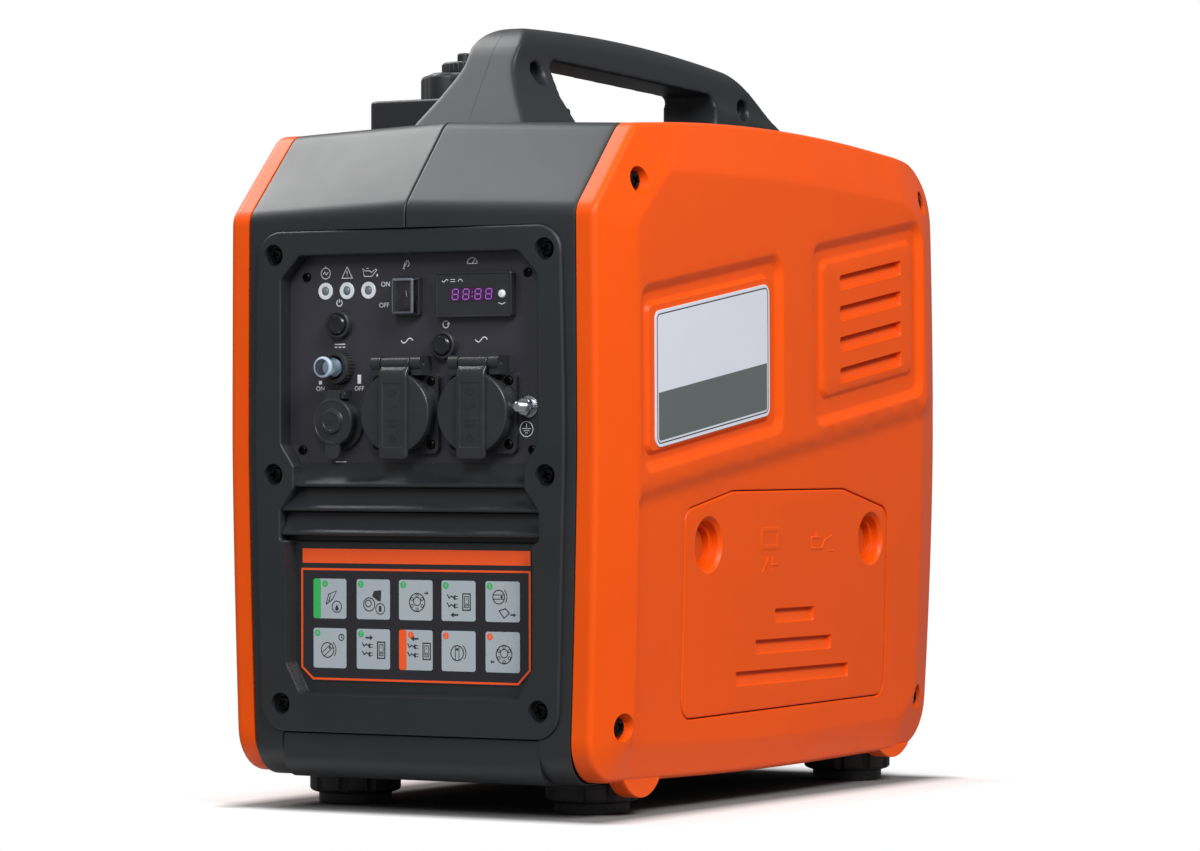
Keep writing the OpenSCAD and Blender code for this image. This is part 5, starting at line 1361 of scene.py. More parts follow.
def ringed_switch(ink, a, b):
    ink.path([(a - 2.7, b - 5), (a + 2.7, b - 5), (a + 2.7, b + 5), (a - 2.7, b + 5)], 0.6, closed=True)
    ink.path([(a - 1.4, b - 3.4), (a + 1.4, b - 3.4), (a + 1.4, b + 3.4), (a - 1.4, b + 3.4)], 0.4,
             closed=True)
    ink.box(a - 0.2, b + 1, a + 0.2, b + 2.4)
    ink.arc(a, b - 1.7, 0.7, 0, 360, 0.35)


def dial_sign(ink, a, b, turn, r=4.6):
    ink.arc(a, b, r, 0, 360, 0.5)
    c, s = math.cos(math.radians(turn)), math.sin(math.radians(turn))
    for e in (-1.3, 1.3):
        ink.path([(a - c * r * 0.92 - s * e, b - s * r * 0.92 + c * e), (a + c * r * 0.92 - s * e,
                                                                        b + s * r * 0.92 + c * e)], 0.4)
    ink.disc(a + c * r * 0.5, b + s * r * 0.5, 0.9, 10)
    ink.arc(a, b, r + 1.7, -35, 50, 0.45)


def cap_sign(ink, a, b):
    ink.arc(a, b, 5.6, 0, 360, 0.5)
    ink.arc(a, b + 0.6, 2.6, 0, 360, 0.45)
    for k in range(6):
        t = math.radians(30 + 60 * k)
        ink.arc(a + 4.3 * math.cos(t), b + 4.3 * math.sin(t), 0.9, 0, 360, 0.35)


def picture(ink, k, a, b):
    """Plain pictures of starting: oil, fuel, vent, unplug, start, warm up, plug in and stop."""
    if k == 0:
        ink.path([(a - 5.4, b - 3), (a - 3.6, b + 3.2), (a + 2.4, b + 5.6), (a - 0.4, b + 0.4),
                  (a - 5.4, b - 3)], 0.5)
        ink.path([(a - 3.4, b - 1.2), (a - 2.2, b + 2.4)], 0.5)
        ink.arc(a + 2.6, b - 4.4, 3.5, 0, 360, 0.45)
        drop(ink, a + 2.6, b - 5.6, 1.3)
    elif k == 1:
        ink.arc(a - 3.4, b - 2.6, 4.1, 0, 360, 0.5)
        ink.arc(a - 4, b - 2, 2.1, 0, 360, 0.5)
        ink.face([(a + 0.2, b + 5.8), (a + 5.6, b + 6.4), (a + 5.2, b - 0.6), (a + 2.8, b - 0.2),
                  (a - 1.2, b + 2.6)])
        ink.arc(a + 4.8, b - 5.2, 3.3, 0, 360, 0.45)
        ink.box(a + 3.7, b - 7.0, a + 5.7, b - 3.4)
    elif k in (2, 9):
        cap_sign(ink, a + 0.6, b - 0.8)
        arrow(ink, a + (7.4 if k == 2 else -7.8), b + (5.0 if k == 2 else -5.4), 3.2, 2.4,
              1 if k == 2 else -1)
    elif k in (3, 6, 7):
        plug(ink, a - 2.6, b + 2.6)
        plug(ink, a - 2.6, b - 2.6)
        ringed_switch(ink, a + 5.4, b)
        arrow(ink, a - 3.4, b + (-8 if k == 3 else 7.6), 5.6, 3.4, -1 if k != 6 else 1)
    elif k == 4:
        dial_sign(ink, a - 3.2, b + 3.4, 0, 4.2)
        ink.path([(a - 3, b - 5), (a + 1.6, b - 3.6), (a + 4.4, b - 6.4), (a + 0.6, b - 9.4),
                  (a - 3, b - 5)], 0.5)
        arrow(ink, a + 7.2, b - 7.4, 4.2, 2.8)
    elif k == 5:
        dial_sign(ink, a - 2.2, b - 0.6, 40)
        ink.arc(a + 8.2, b + 7.4, 1.9, 0, 360, 0.5)
        ink.path([(a + 8.2, b + 8.8), (a + 8.2, b + 7.4), (a + 9.2, b + 6.8)], 0.4)
    else:
        dial_sign(ink, a - 1.4, b - 0.6, 90)


# ---------------------------------------------------------------- controls
def boxed(part_list):
    """Several parts as one."""
    verts, polys = [], []
    for v, f in part_list:
        n = sum(len(x) for x in verts)
        verts.append(np.asarray(v))
        polys += [tuple(i + n for i in p) for p in f]
    return np.vstack(verts), polys


def looped(shape, profile, closed=False):
    """A loft of an outline through (inset, height) pairs."""
    return lofted([np.column_stack([shape(d), np.full(len(shape(0)), h)]) for d, h in profile], closed)


def ringed(profile, a=0.0, b=0.0, count=48):
    """A ring of revolution through closed (radius, height) pairs."""
    return lofted([np.column_stack([circle(a, b, r, count)(), np.full(count, h)]) for r, h in profile], True)


def keep(name, part, body, nodes, slot, finish, side=rear_side, smooth=32):
    """Hands in one part as an object."""
    bm = bmesh.new()
    add(bm, part, side)
    return hand_in(part_object(name, bm), body, nodes, slot, FINISH[finish], smooth=smooth)


START, RESET, BREAKER = (-55.5, 302.5), (21.8, 288.7), (-56, 275.7)
SWITCH, METER = (-4.4, 319.2), (45, 319.5)
LAMPS = [(x, 323.5) for x in (-67, -51, -35)]
SOCKETS = [(-6.65, 247.2), (49.65, 247.2)]
DC, EARTH = (-55.5, 242), (81.7, 250.7)
METER_BUTTON = (65.4, 319.5)


class GENERATOR_OT_buttons(bpy.types.Operator):
    """Start and reset buttons, signal lamps and the breaker under its clear cap"""

    bl_idname = "generator.buttons"
    bl_label = "Buttons and lamps"

    def execute(self, context):
        collar = [(6.6, 13), (6.6, 6.6), (6.9, 6.15), (7.4, 6.0), (8.0, 6.05), (8.5, 6.4), (8.8, 7.2),
                  (8.8, 13)]
        keep("button_collar_rings", boxed([ringed(collar, *START), ringed(collar, *RESET)]), "housing",
             ["button_collars"], "trim_plastic", "trim")
        cap = [(0.02, 4.75), (2.6, 4.7), (3.6, 4.45), (4.3, 4.15), (5.0, 4.2), (5.7, 4.65), (6.25, 5.4),
               (6.45, 6.4), (6.45, 14)]
        for name, at, body in (("start_button", START, "start_button_body"), ("reset_button", RESET,
                                                                              "reset_button_body")):
            keep(name + "_cap", turned(cap, *at), body, [name], "trim_plastic", "gloss_trim", smooth=50)
        ring = [(2.75, 11), (2.75, 10.5), (2.95, 10.3), (5.0, 10.3), (5.3, 10.5), (5.35, 11)]
        keep("lamp_bezels", boxed([ringed(ring, *p) for p in LAMPS]), "housing", ["indicator_lamps"],
             "lamp_plastic", "lamp")
        lens = [(0.02, 9.75), (1.0, 9.8), (1.9, 10.1), (2.5, 10.6), (2.65, 11.2), (2.65, 14)]
        keep("lamp_lenses", boxed([turned(lens, *p, count=32) for p in LAMPS]), "housing", [],
             "lamp_plastic", "lens_grey", smooth=50)
        ring = [(6.75, 12), (6.75, 4.4), (7.0, 3.7), (7.6, 3.2), (9.4, 3.2), (10.0, 3.5), (10.2, 4.2),
                (10.2, 12)]
        keep("breaker_collar", ringed(ring, *BREAKER, count=64), "housing", ["breaker_ring"], "trim_plastic",
             "trim")
        rib = slab(rounded_box(-0.36, -0.36, 0.36, 0.36, 0.15), 4.6, 11, 0.3)
        ribs = copies("breaker_knurls", rib, "ring", FINISH["trim"], Count=sizes().knurls, Radius=10.35)
        ribs.data.transform(Matrix(((1, 0, 0, BREAKER[0]), (0, 0, 1, 0), (0, 1, 0, BREAKER[1]),
                                    (0, 0, 0, 1))))
        hand_in(ribs, "housing", [], "trim_plastic", FINISH["trim"])
        boot = [(0.02, -9.3), (4.9, -9.3), (5.5, -8.9), (5.75, -8.2), (5.75, 13), (6.6, 13), (6.6, -8.6),
                (6.45, -9.3), (6.0, -9.8), (5.2, -10), (0.02, -10)]
        keep("breaker_clear_cap", turned(boot, *BREAKER), "breaker_body", ["breaker_boot"], "clear_plastic",
             "clear", smooth=60)
        # The cap's rim: a pale ring of painted highlight
        edge = [(5.2, -10.04), (6.0, -9.86), (6.5, -9.36), (6.66, -8.6), (6.66, -7.9), (6.3, -8.5),
                (6.0, -9.2), (5.2, -9.5)]
        keep("breaker_cap_edge", ringed(edge, *BREAKER), "breaker_body", [], "clear_plastic", "frost",
             smooth=50)
        core = boxed([turned([(0.02, -2.4), (4.2, -2.4), (4.6, -2.0), (4.7, -1.2), (4.7, 20)], *BREAKER),
                      ringed([(4.7, 2.2), (4.7, 1.2), (5.6, 1.2), (5.6, 2.2)], *BREAKER)])
        keep("breaker_plunger", core, "breaker_body", ["breaker_button"], "trim_plastic", "plunger")
        return {"FINISHED"}


class GENERATOR_OT_switch_and_meter(bpy.types.Operator):
    """Rocker switch under its clear boot, and the meter with its lit digits"""

    bl_idname = "generator.switch_and_meter"
    bl_label = "Switch and meter"

    def execute(self, context):
        a, b = SWITCH
        rim = rounded_box(a - 9.2, b - 12.3, a + 9.2, b + 12.3, 1.6)
        frame_ring = [(3.0, 29), (3.0, 8.2), (2.8, 7.4), (2.3, 7.0), (1.0, 7.0), (0.35, 7.2), (0, 7.8),
                      (0, 11), (1.5, 11), (1.5, 29)]
        keep("switch_frame_skin", looped(rim, frame_ring, closed=True), "housing", ["switch_frame"],
             "trim_plastic", "trim")
        boot = rounded_box(a - 8.2, b - 11.3, a + 8.2, b + 11.3, 1.8)
        keep("switch_clear_boot", looped(boot,
                                         [(3.2, 2.35), (1.6, 2.35), (0.95, 2.7), (0.75, 3.4), (0.75, 7.1),
                                          (0, 7.1),
                                                (0, 3.2), (0.25, 2.3), (1.1, 1.7), (3.2, 1.6)]),
             "housing", ["switch_boot"], "clear_plastic", "clear", smooth=60)
        # The boot's edge: a grey line of painted highlight
        keep("switch_boot_edge", looped(boot,
                                        [(0.25, 2.3), (0.6, 1.85), (1.1, 1.62), (1.7, 1.56), (1.7, 1.75),
                                         (1.1, 1.85),
                                               (0.7, 2.2), (0.5, 2.6)], closed=True),
             "housing", [], "clear_plastic", "boot_edge", smooth=60)
        marks = Ink(0.05)
        marks.box(a - 0.3, b - 0.2, a + 0.3, b + 3.6)
        marks.arc(a, b - 5.4, 1.5, 0, 360, 0.55)
        obj = marks.made("switch_signs", front_side, 0)
        # The signs follow the rocker's two sloping faces
        for v in obj.data.vertices:
            up = v.co.z - b
            v.co.y -= -13 + 5.6 + abs(up) * 0.04 + up * 0.176
        hand_in(obj, "rocker_body", [], "trim_plastic", FINISH["white_ink"], recalc=False)

        a, b = METER
        body = rounded_box(a - 27.5, b - 14, a + 27.5, b + 14, 1.8)
        keep("meter_case", looped(body, [(3.2, 33), (3.2, 11), (0, 11), (0, 6.2), (0.15, 5.75), (0.55, 5.5),
                                         (1.0, 5.5), (1.35, 5.65), (1.55, 6.0), (5, 6.0)]),
             "housing", ["meter_body"], "trim_plastic", "trim")
        keep("meter_glass", slab(rounded_box(27.4, 315.7, 60.1, 323.7, 0.6), 7, 5.85, 0.15), "housing",
             ["meter_window"], "display_window", "window")
        keep("meter_mode_button", turned([(0.02, 4.9), (1.7, 4.95), (2.3, 5.2), (2.58, 5.8), (2.58, 13)],
                                         *METER_BUTTON), "meter_button_body", ["meter_button"],
             "lamp_plastic", "lamp", smooth=50)
        lit, dim = Ink(0.04), Ink(0.03)
        for k in range(4):
            x = 31.9 + 7.7 * k + (1.0 if k > 1 else 0)
            segments(dim if k == 0 else lit, x, 319.7, 4.2, 6.2)
        for z in (318.4, 321.0):
            lit.disc(44.2, z, 0.45, 10)
        printed(lit, "meter_digits", front_side, -5.85, "digit", slot="display_window")
        printed(dim, "meter_unlit_digit", front_side, -5.85, "digit", slot="display_window")
        return {"FINISHED"}


def segments(ink, a, b, w, h):
    """One seven-segment figure eight, leaning a little."""
    t = 0.72

    def at(x, z):
        return a + x + z * 0.09, b + z

    for z in (-h / 2, 0, h / 2):
        ink.face([at(-w / 2 + 0.25, z), at(-w / 2 + 0.6, z - t / 2), at(w / 2 - 0.6, z - t / 2),
                  at(w / 2 - 0.25, z), at(w / 2 - 0.6, z + t / 2), at(-w / 2 + 0.6, z + t / 2)])
    for x in (-w / 2, w / 2):
        for z0 in (-h / 2, 0):
            z1 = z0 + h / 2
            ink.face([at(x, z0 + 0.2), at(x + t / 2, z0 + 0.6), at(x + t / 2, z1 - 0.6), at(x, z1 - 0.2),
                      at(x - t / 2, z1 - 0.6), at(x - t / 2, z0 + 0.6)])


class GENERATOR_OT_sockets(bpy.types.Operator):
    """Mains sockets with hinged lids, the 12 V socket with its cap, and the earth terminal"""

    bl_idname = "generator.sockets"
    bl_label = "Sockets"

    def execute(self, context):
        softened("ac_sockets", "housing", "trim", 0.45)
        softened("dc_socket", "housing", "trim", 0.5)
        for (a, b), name, body in zip(SOCKETS, ("ac_lid_left", "ac_lid_right"), ("ac_lid_left_body",
                                                                                "ac_lid_right_body")):
            self.lid(a, b, name, body)
        a, b = DC
        disc = [(0.02, 4.3), (14.3, 4.3), (14.7, 4.0), (14.8, 3.4), (14.8, 1.3), (14.55, 0.6), (14.0, 0.25),
                (12.9, 0.2), (12.6, 0.5), (8.2, 0.5), (7.9, 0.3), (7.6, -0.6), (7.2, -1.35), (6.6, -1.6),
                (5.4, -1.6), (5.1, -1.3), (0.02, -1.3)]
        tab = slab(rounded_box(a - 4.8, b - 22.5, a + 4.8, b - 9, 4.2, 3), 3.6, 0.75, -0.6)
        strap = slab(rounded_box(a - 5.1, b + 9, a + 5.1, b + 18.6, 0.8), 3.5, 0.8, -0.5)
        verts, polys = pin(2.25, -5.1, 5.1, 0.3)
        barrel = (np.column_stack([verts[:, 2] + a, verts[:, 1] + b + 17.5, verts[:, 0] + 3.5]), polys)
        keep("dc_cap", boxed([turned(disc, a, b, 56), tab, strap, barrel]), "dc_lid_body", ["dc_lid"],
             "trim_plastic", "trim")
        raised = Ink(0.3)
        raised.path([(a - 3.2, b + 1.0), (a + 3.2, b + 1.0)], 0.7)
        for x in (-2.5, 0, 2.5):
            raised.path([(a + x - 0.7, b - 1.0), (a + x + 0.7, b - 1.0)], 0.7)
        obj = raised.made("dc_cap_sign", front_side, 1.3)
        hand_in(obj, "dc_lid_body", [], "trim_plastic", FINISH["trim"], recalc=False)
        self.earth(*EARTH)
        return {"FINISHED"}

    def lid(self, a, b, name, body):
        cup = [(0.02, -1.0), (20.4, -1.0), (20.9, -0.6), (21.0, 0.2), (21.0, 1.7), (24.9, 1.7), (25, 1.2),
               (25, -3.0), (24.85, -3.5), (24.5, -3.85), (23.9, -4), (23.2, -4), (0.02, -4)]
        strip = Outline(box_corners(a - 10.2, b - 28.4, a + 10.2, b + 31.5, 2.2), 4)
        field = Outline(box_corners(a - 7.6, b - 21.5, a + 7.6, b + 18.5, 1.0), 4)

        def height(p):
            up = np.clip(p[:, 1] - (b + 23.5), 0, 8.5)
            back = 6.8 - np.sqrt(np.maximum(6.8 ** 2 - np.minimum(up, 6.6) ** 2, 0.1))
            return 6 - back - 0.35 * ease(inside(p, field()) / 0.8, 0.3)

        rings = [field(d) for d in (-0.15, 0, 0.3, 0.6, 0.85)]
        sheet = relief(strip, 2.6, height, rings=rings,
                       rim=((1.0, 0), (0.55, 0.12), (0.2, 0.4), (0, 0.9), (0, 2.4)))
        obj = moulding("tool", sheet, front_side, 1.6)
        bm = bmesh.new()
        bm.from_mesh(obj.data)
        add(bm, turned(cup, a, b, 72), rear_side)
        verts, polys = pin(4.4, -10.2, 10.2, 0.5)
        add(bm, (np.column_stack([verts[:, 2] + a, verts[:, 0] + 0.6, verts[:, 1] + b + 30.4]), polys))
        bpy.data.objects.remove(obj)
        hand_in(part_object(name + "_skin", bm), body, [name], "trim_plastic", FINISH["trim"])
        # Raised splash and mains signs in the lid's field
        raised = Ink(0.28)
        raised.arc(a, b + 13.4, 2.4, 150, 390, 0.6)
        drop(raised, a, b + 14.6, 0.9)
        wave = np.linspace(-1, 1, 15)
        raised.path([(a + 4 * t, b + 3.6 + 1.3 * math.sin(t * math.pi)) for t in wave], 0.55)
        raised.path([(a - 4, b - 4.6), (a + 4, b - 4.6)], 0.5)
        for x in (-2.4, 0, 2.4):
            raised.arc(a + x, b - 7.6, 0.8, 0, 360, 0.4)
        raised.arc(a, b - 15.4, 2.2, 0, 360, 0.5)
        raised.disc(a - 0.9, b - 15.4, 0.4, 8)
        raised.disc(a + 0.9, b - 15.4, 0.4, 8)
        obj = raised.made(name + "_signs", front_side, 5.63)
        hand_in(obj, body, [], "trim_plastic", FINISH["trim"], recalc=False)

    def earth(self, a, b):
        thread = [(0.02, -4), (2.2, -4), (2.7, -3.6)]
        for k in range(9):
            thread += [(3.0, -3.4 + k * 0.9), (2.62, -2.95 + k * 0.9)]
        thread += [(3.0, 4.9), (3.0, 23)]
        keep("earth_stud_thread", turned(thread, a, b, 36), "housing", ["earth_stud"], "zinc_steel", "zinc",
             smooth=20)
        turn = np.arange(48) * 2 * math.pi / 48
        six = 5.6 * math.cos(math.pi / 6) / np.cos((turn + 0.2) % (math.pi / 3) - math.pi / 6)

        def hexed(cap):
            r = np.minimum(six, cap)
            return np.column_stack([a + r * np.cos(turn), b + r * np.sin(turn)])

        nut = lofted([np.column_stack([hexed(c), np.full(48, h)]) for c, h in
                      ((5.0, 8.4), (5.5, 8.1), (9, 7.7), (9, 4.8), (5.5, 4.3), (4.9, 4.0), (3.4, 4.0))])
        keep("earth_nut", nut, "housing", ["earth_fittings"], "zinc_steel", "zinc", smooth=25)
        split = pin(5.3, 8.45, 9.75, 0.25, a, b)
        flat = pin(6.6, 9.8, 11, 0.3, a, b, 48)
        keep("earth_washers", boxed([split, flat]), "housing", [], "zinc_steel", "zinc")


class GENERATOR_OT_panel_marks(bpy.types.Operator):
    """Printed signs round the controls"""

    bl_idname = "generator.panel_marks"
    bl_label = "Panel marks"

    def execute(self, context):
        ink = Ink(0.05)
        # Overload, fault and oil signs over the lamps
        ink.arc(-67, 334.6, 3.4, 0, 360, 0.45)
        ink.path([(-69, 334), (-67.8, 335.6), (-66.6, 333.6), (-65, 335.4)], 0.45)
        ink.path([(-67.6, 338.4), (-66.4, 338.4)], 0.6)
        ink.path([(-54.9, 331.4), (-47.1, 331.4), (-51, 338.4)], 0.45, closed=True)
        ink.path([(-51, 333.8), (-51, 336)], 0.5)
        ink.disc(-51, 332.8, 0.35, 8)
        ink.path([(-39.4, 337.2), (-38.2, 332.2), (-32.6, 332.2), (-29, 336), (-29.7, 336.6), (-33, 334.6),
                  (-34, 335.6), (-37.6, 335.6)], 0.45, closed=True)
        ink.path([(-36.8, 337.2), (-34.8, 337.2)], 0.45)
        drop(ink, -28.6, 332.6, 0.7)
        # Start: a power sign; reset: a turning arrow; economy: a leaf; meter: a gauge
        ink.arc(-56.8, 316, 2.0, 125, 415, 0.55)
        ink.path([(-56.8, 316.2), (-56.8, 318.6)], 0.55)
        ink.arc(21.8, 301.6, 2.1, 50, 350, 0.55)
        ink.face([(24.9, 302.0), (23.2, 303.4), (22.8, 300.9)])
        ink.arc(-8.2, 339.4, 3.2, -50, 70, 0.5, 2.4)
        ink.arc(-5.0, 337.4, 3.9, 95, 200, 0.5, 4.2)
        ink.path([(-9.6, 336.4), (-6.4, 340.2)], 0.45)
        ink.arc(40.9, 338.6, 3.6, 0, 180, 0.5)
        ink.path([(40.9, 338.8), (42.9, 341)], 0.5)
        ink.path([(37.3, 338.6), (44.5, 338.6)], 0.45)
        ink.text("ON", -22.4, 327.0, 4.3)
        ink.text("OFF", -23.5, 314.0, 4.3)
        for x, z in ((-6.7, 292), (47.5, 292)):
            t = np.linspace(-1, 1, 17)
            ink.path([(x + 4.4 * k, z + 1.5 * math.sin(k * math.pi)) for k in t], 0.6)
        for x, z in ((-56.4, 289.4), (-55.7, 216.2)):
            ink.path([(x - 3.8, z + 0.9), (x + 3.8, z + 0.9)], 0.6)
            for k in (-2.9, 0, 2.9):
                ink.path([(x + k - 0.9, z - 0.9), (x + k + 0.9, z - 0.9)], 0.6)
        ink.text("ON", -71.1, 262.6, 4.1)
        ink.text("OFF", -42.0, 262.6, 4.1)
        ink.box(-72.2, 265.4, -70, 267.6)
        ink.box(-43.3, 265.6, -40.7, 271.2)
        # Protective earth
        a, b = 79.8, 237.1
        ink.arc(a, b, 4.6, 0, 360, 0.55)
        ink.path([(a, b + 3.4), (a, b + 0.4)], 0.55)
        for k, w in enumerate((3.0, 1.9, 0.9)):
            ink.path([(a - w, b + 0.3 - 1.3 * k), (a + w, b + 0.3 - 1.3 * k)], 0.5)
        printed(ink, "panel_signs", front_side, -11, "white_ink")
        small = Ink(0.03)
        t = np.linspace(-1, 1, 13)
        small.path([(24.4 + 2.2 * k, 328.2 + 0.8 * math.sin(k * math.pi)) for k in t], 0.4)
        small.path([(28.4, 328.9), (31.6, 328.9)], 0.35)
        small.path([(28.4, 327.6), (31.6, 327.6)], 0.35)
        small.arc(35.4, 327.4, 1.5, 0, 180, 0.35)
        small.path([(62.9, 314.2), (65.4, 313.2), (67.9, 314.2)], 0.4)
        printed(small, "meter_signs", front_side, -6.0, "white_ink")
        return {"FINISHED"}


# ---------------------------------------------------------------- screws, louvre, filler and feet
class GENERATOR_OT_screws(bpy.types.Operator):
    """Screws of the covers, the bezel, the rear panel and the control panel"""

    bl_idname = "generator.screws"
    bl_label = "Screws"

    def execute(self, context):
        big, small = pan_screw(4.8, 3.3), pan_screw(2.9, 1.7)
        black = FINISH["black_steel"]
        seats = dished(np.array(COVER_SCREWS, float)) - WELL
        cover = pan_screw(6.1, 3.0)
        spots = {
            "bezel_screws": (big, "y", -1, [(a, 5, b) for a, b in both(BEZEL_SCREWS)], (0, 3, 0),
                             "end_screws"),
            "right_cover_screws": (cover, "x", 1, [(h, *p) for h, p in zip(seats, COVER_SCREWS)], (3, 0, 0),
                                   "cover_screws"),
            "left_cover_screws": (cover, "x", -1, [(-h, *p) for h, p in zip(seats, COVER_SCREWS)], (3, 0, 0),
                                  "cover_screws"),
            "rear_screws": (big, "y", 1, [(a, REAR - 6, b) for a, b in both([(91, 73), (91, 361)])],
                            (0, 3, 0), "end_screws"),
            "panel_screw_heads": (small, "y", -1, [(a, 11, b) for a, b in both([(81, 332.5), (84.2, 224.5)])]
                                  + [(a + s * 19.5, 8.3, b + t * 19.5) for a, b in SOCKETS for s in (-1, 1)
                                     for t in (-1, 1)], (0, 3, 0), "panel_screws")}
        for name, (part, axis, sign, places, loose, node) in spots.items():
            obj = copies(name, faced(part, axis, sign), "places", black, places, **{"Loose turn": loose})
            if axis == "x":
                near = np.array([tuple(v.co) for v in obj.data.vertices])
                near[:, 0] -= np.sign(near[:, 0]) * case_side(np.full(len(near), 130.0), near[:, 2])
                obj.data.vertices.foreach_set("co", near.ravel())
            hand_in(obj, "housing", [node], "black_steel", black, smooth=28)
        return {"FINISHED"}


class GENERATOR_OT_louvre(bpy.types.Operator):
    """Air intake blades between the control panel and the sticker"""

    bl_idname = "generator.louvre"
    bl_label = "Air intake"

    def execute(self, context):
        # Steep and in shade above, flattening to a ledge that ends in a rolled lip
        section = [(3.4, -0.2), (2.5, 0.0), (2.0, 0.6), (2.05, 1.4), (2.7, 2.3), (4.3, 4.0), (5.9, 5.9),
                   (7.2, 8.2),
                   (8.0, 11.0), (8.4, 14.2), (10.4, 14.2), (9.9, 10.6), (8.9, 7.4), (7.2, 4.6), (5.2, 2.2),
                   (4.2, 0.4)]
        loops = [np.array([(x, y, z) for y, z in section]) for x in np.linspace(-94, 94, 9)]
        obj = copies("intake_blades", lofted(loops), "line", FINISH["shell"], at=(0, 0, 201.6), Count=3,
                     Step=(0, 0, -15.1))
        hand_in(obj, "housing", ["intake_louvre"], "black_plastic", FINISH["louvre"], smooth=50)
        bm = bmesh.new()
        add(bm, looped(Outline(box_corners(-98, 164, 98, 210.6, 2), 30),
                       [(14, 11), (0, 11), (0, 14), (14, 14)], True),
            rear_side)
        hand_in(part_object("intake_frame", bm), "housing", [], "black_plastic", FINISH["shell"])
        return {"FINISHED"}


class GENERATOR_OT_filler(bpy.types.Operator):
    """Lobed fuel cap and the vent knob on it"""

    bl_idname = "generator.filler"
    bl_label = "Fuel cap"

    def execute(self, context):
        a, b = FILLER
        turn = np.arange(144) * 2 * math.pi / 144
        bump = np.clip(np.cos((turn - math.radians(15)) * 6), -0.35, 1)
        lobed = 34.2 + 2.8 * bump

        def cap(d=0.0):
            return np.column_stack([a + (lobed - d) * np.cos(turn), b + (lobed - d) * np.sin(turn)])

        part = looped(cap, [(5, 462), (6, 450.6), (0.6, 450.4), (0, 451), (0, 465.6), (0.3, 467.0),
                            (1.2, 468.4), (2.8, 469.3), (9, 469.3), (10, 469.0), (28, 469.0)])
        keep("fuel_cap_skin", part, "fuel_cap_body", ["fuel_cap"], "trim_plastic", "shell", upper_side,
             smooth=45)
        knob = turned([(5, 464), (5, 469.75), (20.6, 469.75), (21.6, 470.2), (21.8, 471), (21.8, 475.6),
                       (21.5, 476.6), (20.6, 477.2), (19, 477.3), (0.02, 477.3)], a, b, 72)
        grip = slab(rounded_box(a - 4, b - 18, a + 4, b + 18, 3, 4), 476.6, 482.8, 1.6)
        keep("vent_knob_skin", boxed([knob, grip]), "vent_knob_body", ["vent_knob"], "trim_plastic", "shell",
             upper_side, smooth=45)
        rib = slab(rounded_box(-0.8, -0.9, 0.8, 0.9, 0.5), 470.8, 476.2, 0.5)
        obj = copies("vent_knob_ribs", rib, "ring", FINISH["shell"], at=(a, b, 0), Count=36, Radius=21.3)
        hand_in(obj, "vent_knob_body", [], "trim_plastic", FINISH["shell"])
        return {"FINISHED"}


class GENERATOR_OT_feet(bpy.types.Operator):
    """Fluted rubber feet"""

    bl_idname = "generator.feet"
    bl_label = "Feet"

    def execute(self, context):
        count = sizes().flutes
        turn = np.arange(count * 12) * 2 * math.pi / (count * 12)
        flute = np.clip(np.cos(turn * count) * 2.2 - 1.1, 0, 1)

        def fluted(h, r, deep):
            rr = r - deep * flute
            return np.column_stack([rr * np.cos(turn), rr * np.sin(turn), np.full(len(turn), h)])

        foot = lofted([fluted(*k) for k in ((0, 22.0, 0), (0.4, 22.9, 0), (1.2, 23.2, 0), (6.2, 23.2, 0),
                                            (6.8, 23.6, 0),
                                            (7.6, 26.6, 0.3), (8.4, 28.2, 1.4), (9.6, 29, 2.4),
                                            (18.2, 29, 2.4), (19.4, 28.6, 2.2), (20, 28, 2.0), (20, 8, 0))])
        places = [(x, y, 0) for x in (-87.7, 87.7) for y in (75, 415)]
        obj = copies("feet_skin", foot, "places", FINISH["rubber"], places, Seed=1)
        hand_in(obj, "housing", ["feet"], "rubber", FINISH["rubber"], smooth=40)
        return {"FINISHED"}


class GENERATOR_OT_inner(bpy.types.Operator):
    """Finishes of the solids that show through the openings"""

    bl_idname = "generator.inner"
    bl_label = "Inner parts"

    def execute(self, context):
        for node, finish in (
                ("fuel_tank", "trim"), ("crankshaft", "steel"), ("rotor", "steel"), ("stator", "copper"),
                ("cooling_fan", "trim"), ("fan_shroud", "shell"), ("air_cleaner", "trim"),
                ("carburettor", "cast"),
                ("inverter_module", "cast_dark"), ("battery", "trim"), ("engine_mounts", "rubber"),
                ("foot_screws", "zinc"), ("handle_screws", "black_steel")):
            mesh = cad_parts[node].data
            for k in range(max(1, len(mesh.materials))):
                if len(mesh.materials):
                    mesh.materials[k] = FINISH[finish]
                else:
                    mesh.materials.append(FINISH[finish])
        return {"FINISHED"}


